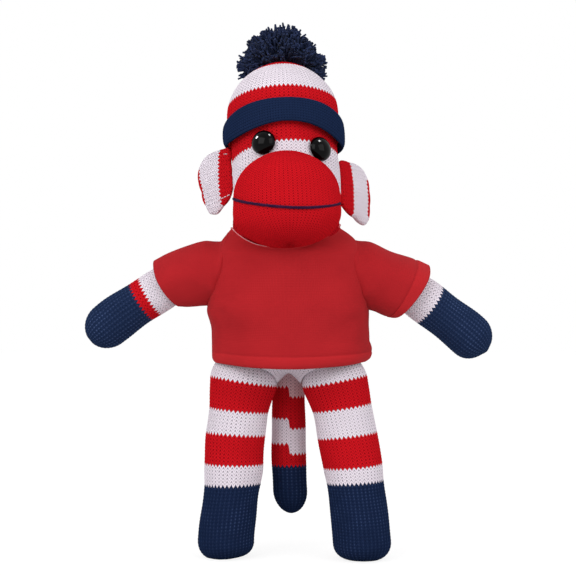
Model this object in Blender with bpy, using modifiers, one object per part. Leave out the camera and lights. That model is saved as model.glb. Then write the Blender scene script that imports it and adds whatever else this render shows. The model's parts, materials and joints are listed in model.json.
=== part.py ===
"""Sock monkey doll of striped knit, in a T-shirt and a bobble hat.

The doll stands on its flat soles. Units are metres, +Z is up, the face looks along -Y,
and the doll's own left is at +X. Each stuffed piece is a knitted skin round its own stuffing.
"""
import math
from dataclasses import dataclass

import bmesh
import bpy
from mathutils import Matrix, Vector

MM = 0.001

# Clearances
GAP = 0.3 * MM
STUFFING_GAP = 0.5 * MM
SOCKET_GAP = 0.5 * MM
OVERRUN = 6.0 * MM
MERGE_DISTANCE = 0.01 * MM

# Cloth and yarn
KNIT_WALL = 1.5 * MM
JERSEY_WALL = 1.3 * MM
SLEEVE_WALL = 1.2 * MM
SLEEVE_EASE = 0.6 * MM

# Torso, measured up from the hips
HIP_HEIGHT = 100.0 * MM
TORSO_BASE_RISE = 5.5 * MM
TORSO_HEIGHT = 71.0 * MM
TORSO_HALF_WIDTH = 43.0 * MM
TORSO_HALF_DEPTH = 29.0 * MM
TORSO_CAP = 24.0 * MM
TORSO_FULLNESS = 0.7
TORSO_SHARES = (
    (0.0, 0.83, 0.73, 0.0),
    (0.15, 0.92, 0.83, 0.0),
    (0.35, 0.98, 0.90, 0.0),
    (0.60, 1.00, 0.97, 0.0),
    (0.80, 0.99, 0.95, 0.0),
    (1.0, 0.92, 0.87, 0.0),
)
TORSO_TOP = HIP_HEIGHT + TORSO_BASE_RISE + TORSO_HEIGHT

# Neck: a ball that sits in the torso and carries the head
NECK_RADIUS = 14.0 * MM
NECK_RISE = 5.5 * MM
NECK_FORWARD = 4.0 * MM
NECK_SEAT_DEPTH = 2.0 * MM
NECK_POINT = (0.0, -NECK_FORWARD, TORSO_TOP + NECK_RISE)

# Head, leaning back on the neck
HEAD_LEAN = math.radians(16.0)
HEAD_ROLL = math.radians(2.7)
HEAD_RADIUS = 30.5 * MM
HEAD_LENGTH = 104.0 * MM
HEAD_BASE_RISE = 1.5 * MM
HEAD_CROWN_CAP = 30.0 * MM
HEAD_BASE_CAP = 31.0 * MM
HEAD_SHARES = ((0.0, 1.0, 1.0, 0.0), (1.0, 1.0, 1.0, 0.0))
HEAD_TOP = HEAD_BASE_RISE + HEAD_LENGTH
HEAD_BASE_FULLNESS = 0.6

# Muzzle
MUZZLE_HALF_WIDTH = 30.0 * MM
MUZZLE_HALF_DEPTH = 25.0 * MM
MUZZLE_HALF_HEIGHT = 26.0 * MM
MUZZLE_FORWARD = 25.8 * MM
MUZZLE_RISE = 17.5 * MM
MUZZLE_TOP = MUZZLE_RISE + MUZZLE_HALF_HEIGHT
MUZZLE_CHIN_SQUARENESS_SHARE = 0.68
MOUTH_YARN_RADIUS = 0.6 * MM
MOUTH_RISE = 4.3 * MM
MOUTH_SAG = 10.2 * MM
MOUTH_SKEW = 2.9 * MM
MOUTH_HALF_SWEEP = math.radians(80.0)
MOUTH_STEPS = 16

# Safety eyes above the muzzle: a glossy dome on a shank, held inside by a washer
EYE_RADIUS = 6.3 * MM
EYE_DOME = 4.6 * MM
EYE_EDGE = 0.8 * MM
EYE_SHANK_RADIUS = 1.6 * MM
EYE_SHANK_TAIL = 2.0 * MM
WASHER_RADIUS = 5.0 * MM
WASHER_THICKNESS = 1.2 * MM
RIGHT_EYE_TURN = math.radians(-21.6)
RIGHT_EYE_LIFT = 5.8 * MM
LEFT_EYE_TURN = math.radians(41.0)
LEFT_EYE_LIFT = 1.4 * MM

# Ears: D-shaped pads sewn on beside the muzzle along their straight side
EAR_HALF_THICKNESS = 3.0 * MM
EAR_WIDTH = 26.0 * MM
EAR_SQUARENESS_SHARE = 0.78
EAR_TURN = math.radians(4.0)
RIGHT_EAR_SWEEP = math.radians(43.0)
RIGHT_EAR_HALF_HEIGHT = 18.9 * MM
RIGHT_EAR_DROP = 3.1 * MM
LEFT_EAR_SWEEP = math.radians(47.0)
LEFT_EAR_HALF_HEIGHT = 17.6 * MM
LEFT_EAR_DROP = 13.6 * MM

# Hat
HAT_EASE = 0.4 * MM
HAT_WALL = 1.8 * MM
CUFF_WALL = 2.2 * MM
CUFF_HEIGHT = 14.5 * MM
CUFF_LIFT = 16.5 * MM
CUFF_RISE = MUZZLE_TOP + CUFF_LIFT
CUFF_ROUND = 0.9 * MM
HAT_HEM_COVER = 0.6 * MM
POMPOM_RADIUS = 25.5 * MM
POMPOM_LIFT = 7.5 * MM
POMPOM_TIP_BACK = math.radians(19.0)
POMPOM_TIP_SIDE = math.radians(1.5)
POMPOM_HOLLOW_RADIUS = 80.0 * MM
POMPOM_TIE_RADIUS = 2.0 * MM
POMPOM_TIE_THICKNESS = 2.0 * MM
POMPOM_PLAY = 0.7 * MM

# Arms, drooping from the shoulders
SHOULDER_HALF_SPAN = 43.0 * MM
SHOULDER_DROP = 8.5 * MM
ARM_ROOT_RADIUS = 15.6 * MM
RIGHT_ARM_REACH = 84.5 * MM
LEFT_ARM_REACH = 86.0 * MM
ARM_RADIUS = 12.8 * MM
ARM_TIP_CAP = 12.8 * MM
ARM_SHARES = (
    (0.154, 1.22, 1.22, 0.0),
    (0.24, 1.04, 1.08, 0.0),
    (0.29, 0.93, 0.98, 0.0),
    (0.40, 0.95, 0.97, 0.0),
    (0.55, 0.97, 0.98, 0.0),
    (0.80, 1.02, 1.01, 0.0),
    (1.0, 0.98, 0.98, 0.0),
)
RIGHT_ARM_DROOP = math.radians(20.0)
RIGHT_ARM_BEND = math.radians(19.0)
LEFT_ARM_DROOP = math.radians(27.0)
LEFT_ARM_BEND = math.radians(16.0)
ARM_LOWERING = math.radians(15.0)
ROOT_MOUTH_RADIUS = 6.0 * MM
ARMPIT_ROOM = 0.1 * MM

# Legs, standing a little apart
HIP_HALF_SPAN = 27.0 * MM
LEG_ROOT_RADIUS = 19.0 * MM
LEG_TOE_CAP = 10.0 * MM
LEG_TOE_FULLNESS = 0.55
SOLE_CUT = 0.5 * MM
LEG_SHARES = (
    (0.16, 1.0, 1.0, 0.0),
    (0.235, 0.925, 0.83, 0.0),
    (0.30, 0.88, 0.77, 0.05),
    (0.50, 0.87, 0.79, 0.35),
    (0.68, 0.83, 0.82, 0.66),
    (0.82, 0.85, 0.95, 0.88),
    (0.94, 0.86, 1.02, 1.0),
)
RIGHT_LEG_LEAN = math.radians(13.0)
RIGHT_LEG_BEND = math.radians(16.0)
RIGHT_LEG_STEP = 2.0 * MM
LEFT_LEG_LEAN = math.radians(14.5)
LEFT_LEG_BEND = math.radians(11.5)
LEFT_LEG_STEP = 9.0 * MM

# Tail
TAIL_BACK = 20.0 * MM
TAIL_RISE = 5.0 * MM
TAIL_ROOT_RADIUS = 9.5 * MM
TAIL_REACH = 83.0 * MM
TAIL_TIP_CAP = 14.0 * MM
TAIL_SHARES = (
    (0.10, 1.0, 1.0, 0.0),
    (0.30, 1.02, 1.02, 0.0),
    (0.60, 1.06, 1.04, 0.0),
    (0.85, 1.06, 1.04, 0.0),
    (1.0, 1.0, 1.0, 0.0),
)

# T-shirt body, hanging from the shoulders to below the hips' tops
SHIRT_TOP_DROP = 3.5 * MM
SHIRT_LENGTH = 62.5 * MM
SHIRT_HALF_WIDTH = 46.8 * MM
SHIRT_HALF_DEPTH = 34.1 * MM
SHIRT_FOLD_DEPTH = 1.3 * MM
SHIRT_FOLD_COUNT = 9
SHIRT_SHARES = (
    (0.0, 0.705, 0.572),
    (0.064, 0.79, 0.66),
    (0.16, 0.865, 0.745),
    (0.288, 0.93, 0.836),
    (0.448, 0.968, 0.918),
    (0.66, 0.982, 0.960),
    (0.85, 0.983, 0.972),
    (0.872, 1.0, 1.0),
    (1.0, 1.0, 1.0),
)

# Neckband of the T-shirt
COLLAR_HALF_WIDTH = 32.5 * MM
COLLAR_HALF_DEPTH = 25.5 * MM
COLLAR_FRONT_RISE = 5.2 * MM
COLLAR_SIDE_RISE = 10.7 * MM
COLLAR_BACK_RISE = 7.0 * MM

# Sleeves: a cap that turns in the armhole and a short tube
RIGHT_SLEEVE_LENGTH = 28.7 * MM
RIGHT_SLEEVE_HALF_WIDTH = 15.6 * MM
LEFT_SLEEVE_LENGTH = 31.5 * MM
LEFT_SLEEVE_HALF_WIDTH = 17.8 * MM
SLEEVE_MOUTH_ANGLE = math.radians(50.0)

# Facets
BODY_SEGMENTS = 20
LIMB_SEGMENTS = 16
TAIL_SEGMENTS = 12
SMALL_SEGMENTS = 12
SHIRT_SEGMENTS = 28
CAP_STEPS = 4
BODY_STEPS = 5

# Sizes worked out from the ones above
SHOULDER_HEIGHT = TORSO_TOP - SHOULDER_DROP
SLEEVE_CAP_RADIUS = ARM_ROOT_RADIUS + SLEEVE_EASE + SLEEVE_WALL
ARM_SOCKET_RADIUS = SLEEVE_CAP_RADIUS + SOCKET_GAP
LEG_SOCKET_RADIUS = LEG_ROOT_RADIUS + SOCKET_GAP
TAIL_SOCKET_RADIUS = TAIL_ROOT_RADIUS + SOCKET_GAP
NECK_SOCKET_RADIUS = NECK_RADIUS + SOCKET_GAP
SHIRT_TOP = TORSO_TOP - SHIRT_TOP_DROP
CROWN_RADIUS = HEAD_RADIUS + HAT_EASE + HAT_WALL
DOME_RISE = HEAD_TOP - HEAD_CROWN_CAP
TAIL_POINT = (0.0, TAIL_BACK, HIP_HEIGHT + TAIL_RISE)

# Colours of the knit, the jersey and the plastic
RED = (0.58, 0.008, 0.02)
WHITE = (0.80, 0.78, 0.79)
NAVY = (0.012, 0.024, 0.07)
SHIRT_RED = (0.45, 0.012, 0.016)
FILL_WHITE = (0.85, 0.85, 0.84)
EYE_BLACK = (0.006, 0.006, 0.007)
WASHER_GREY = (0.6, 0.6, 0.6)

RIGHT, LEFT = -1, 1
SIDE_NAMES = {RIGHT: "right", LEFT: "left"}


def clear_scene():
    """Start from an empty file."""
    for item in list(bpy.data.objects):
        bpy.data.objects.remove(item, do_unlink=True)


def new_collection(name):
    collection = bpy.data.collections.new(name)
    bpy.context.scene.collection.children.link(collection)
    return collection


def new_material(name, colour, roughness, metallic=0.0):
    material = bpy.data.materials.new(name)
    material.use_nodes = True
    shader = material.node_tree.nodes["Principled BSDF"]
    shader.inputs["Base Color"].default_value = (*colour, 1.0)
    shader.inputs["Roughness"].default_value = roughness
    shader.inputs["Metallic"].default_value = metallic
    material.diffuse_color = (*colour, 1.0)
    return material


def pivot(name, location, rotation=(0.0, 0.0, 0.0), parent=None):
    """An empty that carries the pieces of one moving body, on its joint's axis."""
    empty = bpy.data.objects.new(name, None)
    PARTS.objects.link(empty)
    empty.location = location
    empty.rotation_euler = rotation
    empty.parent = parent
    return empty


def add_part(name, mesh, material, parent):
    """A sub-part of the doll, smooth shaded."""
    part = bpy.data.objects.new(name, mesh)
    PARTS.objects.link(part)
    part.parent = parent
    mesh.materials.append(material)
    mesh.shade_smooth()
    return part


def add_cutter(name, mesh, parent, location=(0.0, 0.0, 0.0), rotation=(0.0, 0.0, 0.0)):
    """A shape that only cuts others."""
    cutter = bpy.data.objects.new(name, mesh)
    CUTTERS.objects.link(cutter)
    cutter.parent = parent
    cutter.location = location
    cutter.rotation_euler = rotation
    cutter.hide_render = True
    cutter.display_type = "WIRE"
    return cutter


def cut(part, *cutters):
    """Take each cutter away from the part."""
    for cutter in cutters:
        modifier = part.modifiers.new("cut_" + cutter.name, "BOOLEAN")
        modifier.operation = "DIFFERENCE"
        modifier.solver = "EXACT"
        modifier.object = cutter
    return part


def mesh_from(builder, name):
    """A mesh made by a function that fills a bmesh."""
    shape = bmesh.new()
    builder(shape)
    mesh = bpy.data.meshes.new(name)
    shape.to_mesh(mesh)
    shape.free()
    return mesh


def ball_mesh(name, radius, segments=BODY_SEGMENTS):
    def build(shape):
        bmesh.ops.create_uvsphere(shape, u_segments=segments, v_segments=segments // 2, radius=radius)
    return mesh_from(build, name)




def cylinder_mesh(name, radius, bottom, top, segments=BODY_SEGMENTS):
    def build(shape):
        place = Matrix.Translation((0.0, 0.0, (bottom + top) / 2))
        bmesh.ops.create_cone(shape, cap_ends=True, segments=segments, radius1=radius,
                              radius2=radius, depth=top - bottom, matrix=place)
    return mesh_from(build, name)


def box_mesh(name, low, high):
    def build(shape):
        centre = (Vector(low) + Vector(high)) / 2
        size = Vector(high) - Vector(low)
        place = Matrix.Translation(centre) @ Matrix.Diagonal((*size, 1.0))
        bmesh.ops.create_cube(shape, size=1.0, matrix=place)
    return mesh_from(build, name)


def ball_cutter(name, centre, radius, parent, segments=LIMB_SEGMENTS):
    """A ball whose facets, and not only its corners, clear the given radius."""
    facet_share = math.cos(math.pi / segments) ** 2
    return add_cutter(name, ball_mesh(name, radius / facet_share, segments), parent, centre)


def smooth_value(rows, share, column):
    """One column of a table, on a smooth curve through its rows."""
    if share <= rows[0][0]:
        return rows[0][column]
    if share >= rows[-1][0]:
        return rows[-1][column]
    index = max(row for row in range(len(rows) - 1) if rows[row][0] <= share)
    left, right = rows[index], rows[index + 1]
    before, after = rows[max(index - 1, 0)], rows[min(index + 2, len(rows) - 1)]
    span = right[0] - left[0]
    ratio = (share - left[0]) / span
    leaving = span * (right[column] - before[column]) / (right[0] - before[0])
    arriving = span * (after[column] - left[column]) / (after[0] - left[0])
    rest = 1.0 - ratio
    return (left[column] * rest * rest * (1 + 2 * ratio)
            + right[column] * ratio * ratio * (3 - 2 * ratio)
            + leaving * ratio * rest * rest - arriving * ratio * ratio * rest)


def ring_mesh(name, rings, segments, open_ends=False, ripple=None):
    """A tube through rings given as centre, across and deep vectors, from the top down.

    Closed, the first and last ring are its two poles. Open, every ring is kept as given.
    A ripple function moves the surface in and out by ring and by turn round it.
    """
    if open_ends:
        rings = [rings[0], *rings, rings[-1]]
    last = len(rings) - 1

    def build(shape):
        bmesh.ops.create_uvsphere(shape, u_segments=segments, v_segments=last, radius=1.0)
        poles = []
        for vert in shape.verts:
            ring = round(math.acos(max(-1.0, min(1.0, vert.co.z))) / math.pi * last)
            turn = math.atan2(vert.co.y, vert.co.x)
            centre, across, deep = rings[ring]
            if ring in (0, last):
                poles.append(vert)
                vert.co = centre
                continue
            swell = 1.0 + (ripple(ring, turn) if ripple else 0.0)
            vert.co = centre + swell * (across * math.cos(turn) + deep * math.sin(turn))
        if open_ends:
            bmesh.ops.delete(shape, geom=poles, context="VERTS")
    return mesh_from(build, name)


@dataclass(frozen=True)
class StuffedForm:
    """A stuffed knitted tube with a round cap at each end, hanging down its own -Z.

    The spine runs straight for the rise above the origin, then bends evenly to the tip.
    Each row of shares is: share of the length, then of the half width, depth and step.
    """
    length: float
    rise: float
    half_width: float
    half_depth: float
    shares: tuple
    start_cap: float
    end_cap: float
    start_fullness: float = 1.0
    end_fullness: float = 1.0
    bend: float = 0.0
    step: float = 0.0

    def spine(self, distance):
        """Place on the spine, and its lean there, at a distance from the top."""
        run = distance - self.rise
        if run <= 0.0 or self.bend == 0.0:
            return Vector((0.0, 0.0, -run)), 0.0
        radius = (self.length - self.rise) / self.bend
        lean = run / radius
        return Vector((-radius * (1 - math.cos(lean)), 0.0, -radius * math.sin(lean))), lean

    def ring(self, distance, factor=1.0, inset=0.0):
        """Centre, across and deep vectors of the section at a distance from the top."""
        share = distance / self.length
        width = self.half_width * smooth_value(self.shares, share, 1) - inset
        depth = self.half_depth * smooth_value(self.shares, share, 2) - inset
        centre, lean = self.spine(distance)
        centre = centre - Vector((0.0, self.step * smooth_value(self.shares, share, 3), 0.0))
        across = Vector((math.cos(lean), 0.0, -math.sin(lean))) * width * factor
        return centre, across, Vector((0.0, depth * factor, 0.0))

    def rings(self, inset, cap_steps, body_steps):
        """The rings of a skin that lies inset inside this form."""
        quarter = [math.radians(90) * step / cap_steps for step in range(cap_steps + 1)]
        rings = []
        for turn in quarter:
            distance = self.start_cap - (self.start_cap - inset) * math.cos(turn)
            rings.append(self.ring(distance, math.sin(turn) ** self.start_fullness, inset))
        body = self.length - self.start_cap - self.end_cap
        for step in range(1, body_steps):
            rings.append(self.ring(self.start_cap + body * step / body_steps, 1.0, inset))
        for turn in reversed(quarter):
            distance = self.length - self.end_cap + (self.end_cap - inset) * math.cos(turn)
            rings.append(self.ring(distance, math.sin(turn) ** self.end_fullness, inset))
        return rings

    def mesh(self, name, segments, inset=0.0, cap_steps=CAP_STEPS, body_steps=BODY_STEPS):
        return ring_mesh(name, self.rings(inset, cap_steps, body_steps), segments)


def stuffed_pair(name, form, segments, skin_material, parent, keep_clear=(), mouth=True):
    """A knitted skin and the stuffing inside it, both kept clear of the given balls.

    Each ball to keep clear of is a centre and a radius. The mouth is the opening at the
    root that the stuffing goes in by.
    """
    skin = add_part(name + "_skin", form.mesh(name + "_skin", segments), skin_material, parent)
    cavity = add_cutter(name + "_cavity", form.mesh(name + "_cavity", segments, KNIT_WALL), parent)
    stuffing_inset = KNIT_WALL + STUFFING_GAP
    stuffing = add_part(name + "_stuffing",
                        form.mesh(name + "_stuffing", segments // 2, stuffing_inset),
                        FILL, parent)
    for index, (centre, radius) in enumerate(keep_clear):
        label = f"{name}_socket_{index}"
        cut(skin, ball_cutter(label, centre, radius, parent, LIMB_SEGMENTS))
        cut(cavity, ball_cutter(label + "_wall", centre, radius + KNIT_WALL, parent, LIMB_SEGMENTS))
        cut(stuffing, ball_cutter(label + "_fill", centre, radius + stuffing_inset, parent,
                                  LIMB_SEGMENTS))
    cut(skin, cavity)
    if mouth:
        opening = cylinder_mesh(name + "_mouth", ROOT_MOUTH_RADIUS, form.rise - form.start_cap / 2,
                                form.rise + OVERRUN, SMALL_SEGMENTS)
        cut(skin, add_cutter(name + "_mouth", opening, parent))
    return skin, stuffing, cavity


def turned_part(name, profile, segments, material, parent, closed=False):
    """A part turned about its own Z from a profile of radius and height pairs, top first."""
    count = len(profile)
    edges = [(index, index + 1) for index in range(count - 1)]
    if closed:
        edges.append((count - 1, 0))
    mesh = bpy.data.meshes.new(name)
    mesh.from_pydata([(radius, 0.0, height) for radius, height in profile], edges, [])
    part = add_part(name, mesh, material, parent)
    modifier = part.modifiers.new("turn", "SCREW")
    modifier.angle = math.radians(360)
    modifier.steps = segments
    modifier.render_steps = segments
    modifier.use_merge_vertices = True
    modifier.merge_threshold = MERGE_DISTANCE
    return part


def arc_profile(centre_radius, centre_height, width, height, start, end, steps):
    """Points of an elliptic arc in a turned profile, by angle from the outward direction."""
    points = []
    for step in range(steps + 1):
        angle = start + (end - start) * step / steps
        points.append((centre_radius + width * math.cos(angle),
                       centre_height + height * math.sin(angle)))
    return points


def solidify(part, wall):
    """Give an open surface its wall, inwards."""
    modifier = part.modifiers.new("wall", "SOLIDIFY")
    modifier.thickness = wall
    modifier.offset = -1.0
    modifier.use_even_offset = True
    return part


def join_close_points(part):
    """Join points that cutting has left closer than the merge distance."""
    modifier = part.modifiers.new("join", "WELD")
    modifier.merge_threshold = MERGE_DISTANCE


def build_torso(doll):
    """The body, with sockets for the arms, legs, tail and neck."""
    form = StuffedForm(length=TORSO_HEIGHT, rise=TORSO_TOP, half_width=TORSO_HALF_WIDTH,
                       half_depth=TORSO_HALF_DEPTH, shares=TORSO_SHARES, start_cap=TORSO_CAP,
                       end_cap=TORSO_CAP, start_fullness=TORSO_FULLNESS,
                       end_fullness=TORSO_FULLNESS)
    sockets = [(TAIL_POINT, TAIL_SOCKET_RADIUS)]
    for side in (RIGHT, LEFT):
        sockets.append((shoulder_point(side), ARM_SOCKET_RADIUS))
        sockets.append((hip_point(side), LEG_SOCKET_RADIUS))
    skin, stuffing, _cavity = stuffed_pair("torso", form, BODY_SEGMENTS, KNIT_WHITE, doll,
                                           sockets, mouth=False)
    seat = cylinder_mesh("neck_seat", NECK_RADIUS + SOCKET_GAP, -NECK_SEAT_DEPTH, OVERRUN)
    seat_cutter = add_cutter("neck_seat", seat, doll, (0.0, -NECK_FORWARD, TORSO_TOP))
    cut(skin, seat_cutter)
    cut(stuffing, seat_cutter)


def build_neck(doll):
    """The neck ball, flat where it sits on the stuffing of the torso."""
    neck_frame = pivot("neck_pivot", NECK_POINT, parent=doll)
    neck = add_part("neck", ball_mesh("neck", NECK_RADIUS, LIMB_SEGMENTS), KNIT_RED, neck_frame)
    flat = -(NECK_RISE + NECK_SEAT_DEPTH - GAP)
    reach = NECK_RADIUS + OVERRUN
    foot = box_mesh("neck_foot", (-reach, -reach, -reach), (reach, reach, flat))
    cut(neck, add_cutter("neck_foot", foot, neck_frame))


def head_form():
    """The long sock that makes the head, measured in the head's own frame."""
    return StuffedForm(length=HEAD_LENGTH, rise=HEAD_TOP, half_width=HEAD_RADIUS,
                       half_depth=HEAD_RADIUS, shares=HEAD_SHARES, start_cap=HEAD_CROWN_CAP,
                       end_cap=HEAD_BASE_CAP, end_fullness=HEAD_BASE_FULLNESS)


def build_head(head):
    """Head skin and stuffing, with the neck's socket and the holes for the eyes."""
    socket = [((0.0, 0.0, 0.0), NECK_SOCKET_RADIUS)]
    skin, stuffing, _cavity = stuffed_pair("head", head_form(), BODY_SEGMENTS, KNIT_RED, head,
                                           socket, mouth=False)
    for side, turn, rise in ((RIGHT, RIGHT_EYE_TURN, MUZZLE_TOP + RIGHT_EYE_LIFT),
                             (LEFT, LEFT_EYE_TURN, MUZZLE_TOP + LEFT_EYE_LIFT)):
        build_eye(SIDE_NAMES[side], turn, rise, head, skin, stuffing)
    return skin


def build_eye(side, turn, rise, head, skin, stuffing):
    """One safety eye with its washer, and the room both need in the head."""
    place = (0.0, 0.0, rise)
    rotation = (math.radians(90), 0.0, turn)
    base = HEAD_RADIUS + GAP
    washer_face = math.sqrt((HEAD_RADIUS - KNIT_WALL) ** 2 - WASHER_RADIUS ** 2) - STUFFING_GAP
    shank_end = washer_face - WASHER_THICKNESS - EYE_SHANK_TAIL
    dome = arc_profile(0.0, base + EYE_EDGE, EYE_RADIUS, EYE_DOME,
                       math.radians(90), 0.0, CAP_STEPS + 1)
    profile = [*dome, (EYE_RADIUS - EYE_EDGE, base), (EYE_SHANK_RADIUS, base),
               (EYE_SHANK_RADIUS, shank_end), (0.0, shank_end)]
    eye = turned_part(side + "_eye", profile, LIMB_SEGMENTS, EYE_PLASTIC, head)
    bore = EYE_SHANK_RADIUS + GAP
    ring = [(WASHER_RADIUS, washer_face), (WASHER_RADIUS, washer_face - WASHER_THICKNESS),
            (bore, washer_face - WASHER_THICKNESS), (bore, washer_face)]
    washer = turned_part(side + "_eye_washer", ring, SMALL_SEGMENTS, WASHER_PLASTIC, head, closed=True)
    for part in (eye, washer):
        part.location = place
        part.rotation_euler = rotation
    hole = cylinder_mesh(side + "_eye_hole", bore, washer_face - KNIT_WALL,
                         base + OVERRUN, SMALL_SEGMENTS)
    cut(skin, add_cutter(side + "_eye_hole", hole, head, place, rotation))
    pocket = cylinder_mesh(side + "_eye_pocket", WASHER_RADIUS + STUFFING_GAP,
                           shank_end - STUFFING_GAP, base + OVERRUN, SMALL_SEGMENTS)
    cut(stuffing, add_cutter(side + "_eye_pocket", pocket, head, place, rotation))


def muzzle_mesh(name, inset, segments):
    """The muzzle's egg shape, fuller at the chin, with its skin moved in by the inset."""
    mesh = ball_mesh(name, 1.0, segments)
    for vert in mesh.vertices:
        across, deep, tall = vert.co
        if tall < 0.0:
            tall = -((-tall) ** MUZZLE_CHIN_SQUARENESS_SHARE)
        vert.co = (across * (MUZZLE_HALF_WIDTH - inset), deep * (MUZZLE_HALF_DEPTH - inset),
                   tall * (MUZZLE_HALF_HEIGHT - inset))
    return mesh


def build_muzzle(head):
    """The stuffed muzzle, open where it is sewn on the head, and its yarn mouth."""
    place = (0.0, -MUZZLE_FORWARD, MUZZLE_RISE)
    skin = add_part("muzzle_skin", muzzle_mesh("muzzle_skin", 0.0, BODY_SEGMENTS), KNIT_RED, head)
    cavity = add_cutter("muzzle_cavity", muzzle_mesh("muzzle_cavity", KNIT_WALL, BODY_SEGMENTS),
                        head, place)
    stuffing = add_part("muzzle_stuffing",
                        muzzle_mesh("muzzle_stuffing", KNIT_WALL + STUFFING_GAP,
                                    BODY_SEGMENTS // 2), FILL, head)
    skin.location = place
    stuffing.location = place
    head_room = add_cutter("muzzle_head_room", head_form().mesh("muzzle_head_room", BODY_SEGMENTS,
                                                               -GAP), head)
    neck_room = ball_cutter("muzzle_neck_room", (0.0, 0.0, 0.0), NECK_SOCKET_RADIUS, head,
                            LIMB_SEGMENTS)
    for part in (skin, stuffing):
        cut(part, head_room, neck_room)
    cut(skin, cavity)
    for side, turn, rise in (("right", RIGHT_EYE_TURN, MUZZLE_TOP + RIGHT_EYE_LIFT),
                             ("left", LEFT_EYE_TURN, MUZZLE_TOP + LEFT_EYE_LIFT)):
        room = cylinder_mesh(side + "_eye_room", EYE_RADIUS + GAP, HEAD_RADIUS,
                             HEAD_RADIUS + GAP + EYE_EDGE + EYE_DOME + OVERRUN, SMALL_SEGMENTS)
        cut(skin, add_cutter(side + "_eye_room", room, head, (0.0, 0.0, rise),
                             (math.radians(90), 0.0, turn)))
    build_mouth(head)


def build_mouth(head):
    """The stitched mouth line, a yarn that lies on the muzzle's surface."""
    curve = bpy.data.curves.new("mouth_yarn", "CURVE")
    curve.dimensions = "3D"
    curve.bevel_depth = MOUTH_YARN_RADIUS
    curve.bevel_resolution = 1
    curve.use_fill_caps = True
    spline = curve.splines.new("POLY")
    spline.points.add(MOUTH_STEPS)
    offset = MOUTH_YARN_RADIUS + GAP
    for index, point in enumerate(spline.points):
        turn = MOUTH_HALF_SWEEP * (2 * index / MOUTH_STEPS - 1)
        rise = (MOUTH_RISE - MUZZLE_RISE + MOUTH_SAG * (1 - math.cos(turn))
                - MOUTH_SKEW * math.sin(turn))
        drop_share = -rise / (MUZZLE_HALF_HEIGHT + offset)
        level = math.sqrt(1 - drop_share ** (2 / MUZZLE_CHIN_SQUARENESS_SHARE))
        point.co = ((MUZZLE_HALF_WIDTH + offset) * level * math.sin(turn),
                    -MUZZLE_FORWARD - (MUZZLE_HALF_DEPTH + offset) * level * math.cos(turn),
                    MUZZLE_RISE + rise, 1.0)
    yarn = bpy.data.objects.new("mouth_yarn", curve)
    PARTS.objects.link(yarn)
    yarn.parent = head
    curve.materials.append(YARN_NAVY)


def build_ear(side, half_height, drop, sweep, head):
    """One ear, with its hinge line along the seam that joins it to the head."""
    name = SIDE_NAMES[side] + "_ear"
    seam = HEAD_RADIUS + GAP + EAR_HALF_THICKNESS
    outward = Vector((side * math.cos(EAR_TURN), math.sin(EAR_TURN), 0.0))
    hinge = pivot(name + "_pivot", outward * seam + Vector((0.0, 0.0, MUZZLE_TOP - drop)), parent=head)
    outer = EAR_WIDTH - EAR_HALF_THICKNESS
    mesh = ball_mesh(name, 1.0, SMALL_SEGMENTS)
    mesh.transform(Matrix.Rotation(math.radians(90), 4, "X"))
    for vert in mesh.vertices:
        across, thick, tall = vert.co
        squared = math.copysign(abs(tall) ** EAR_SQUARENESS_SHARE, tall)
        reach = outer if across > 0.0 else EAR_HALF_THICKNESS
        vert.co = (across * reach, thick * EAR_HALF_THICKNESS, squared * half_height)
    ear = add_part(name, mesh, KNIT_WHITE, hinge)
    facing = 0.0 if side == LEFT else math.radians(180)
    ear.rotation_euler = (0.0, 0.0, facing + side * sweep)


def build_hat(head):
    """Knitted crown, turned-up cuff and the pompom with its tie."""
    crown = add_part("hat_crown", head_form().mesh("hat_crown", BODY_SEGMENTS,
                                                   -(HAT_EASE + HAT_WALL)), KNIT_WHITE, head)
    inner = head_form().mesh("hat_crown_inside", BODY_SEGMENTS, -HAT_EASE)
    reach = CROWN_RADIUS + OVERRUN
    below = box_mesh("hat_below", (-reach, -reach, -reach),
                     (reach, reach, CUFF_RISE + HAT_HEM_COVER))
    cut(crown, add_cutter("hat_crown_inside", inner, head), add_cutter("hat_below", below, head))

    inside = CROWN_RADIUS + GAP
    outside = inside + CUFF_WALL
    low, high = CUFF_RISE, CUFF_RISE + CUFF_HEIGHT
    right_angle = math.radians(90)
    profile = [(inside, high)]
    profile += arc_profile(outside - CUFF_ROUND, high - CUFF_ROUND, CUFF_ROUND, CUFF_ROUND,
                           right_angle, 0.0, 2)
    profile += arc_profile(outside - CUFF_ROUND, low + CUFF_ROUND, CUFF_ROUND, CUFF_ROUND,
                           0.0, -right_angle, 2)
    profile.append((inside, low))
    turned_part("hat_cuff", profile, BODY_SEGMENTS, KNIT_NAVY, head, closed=True)
    build_pompom(head)


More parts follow.
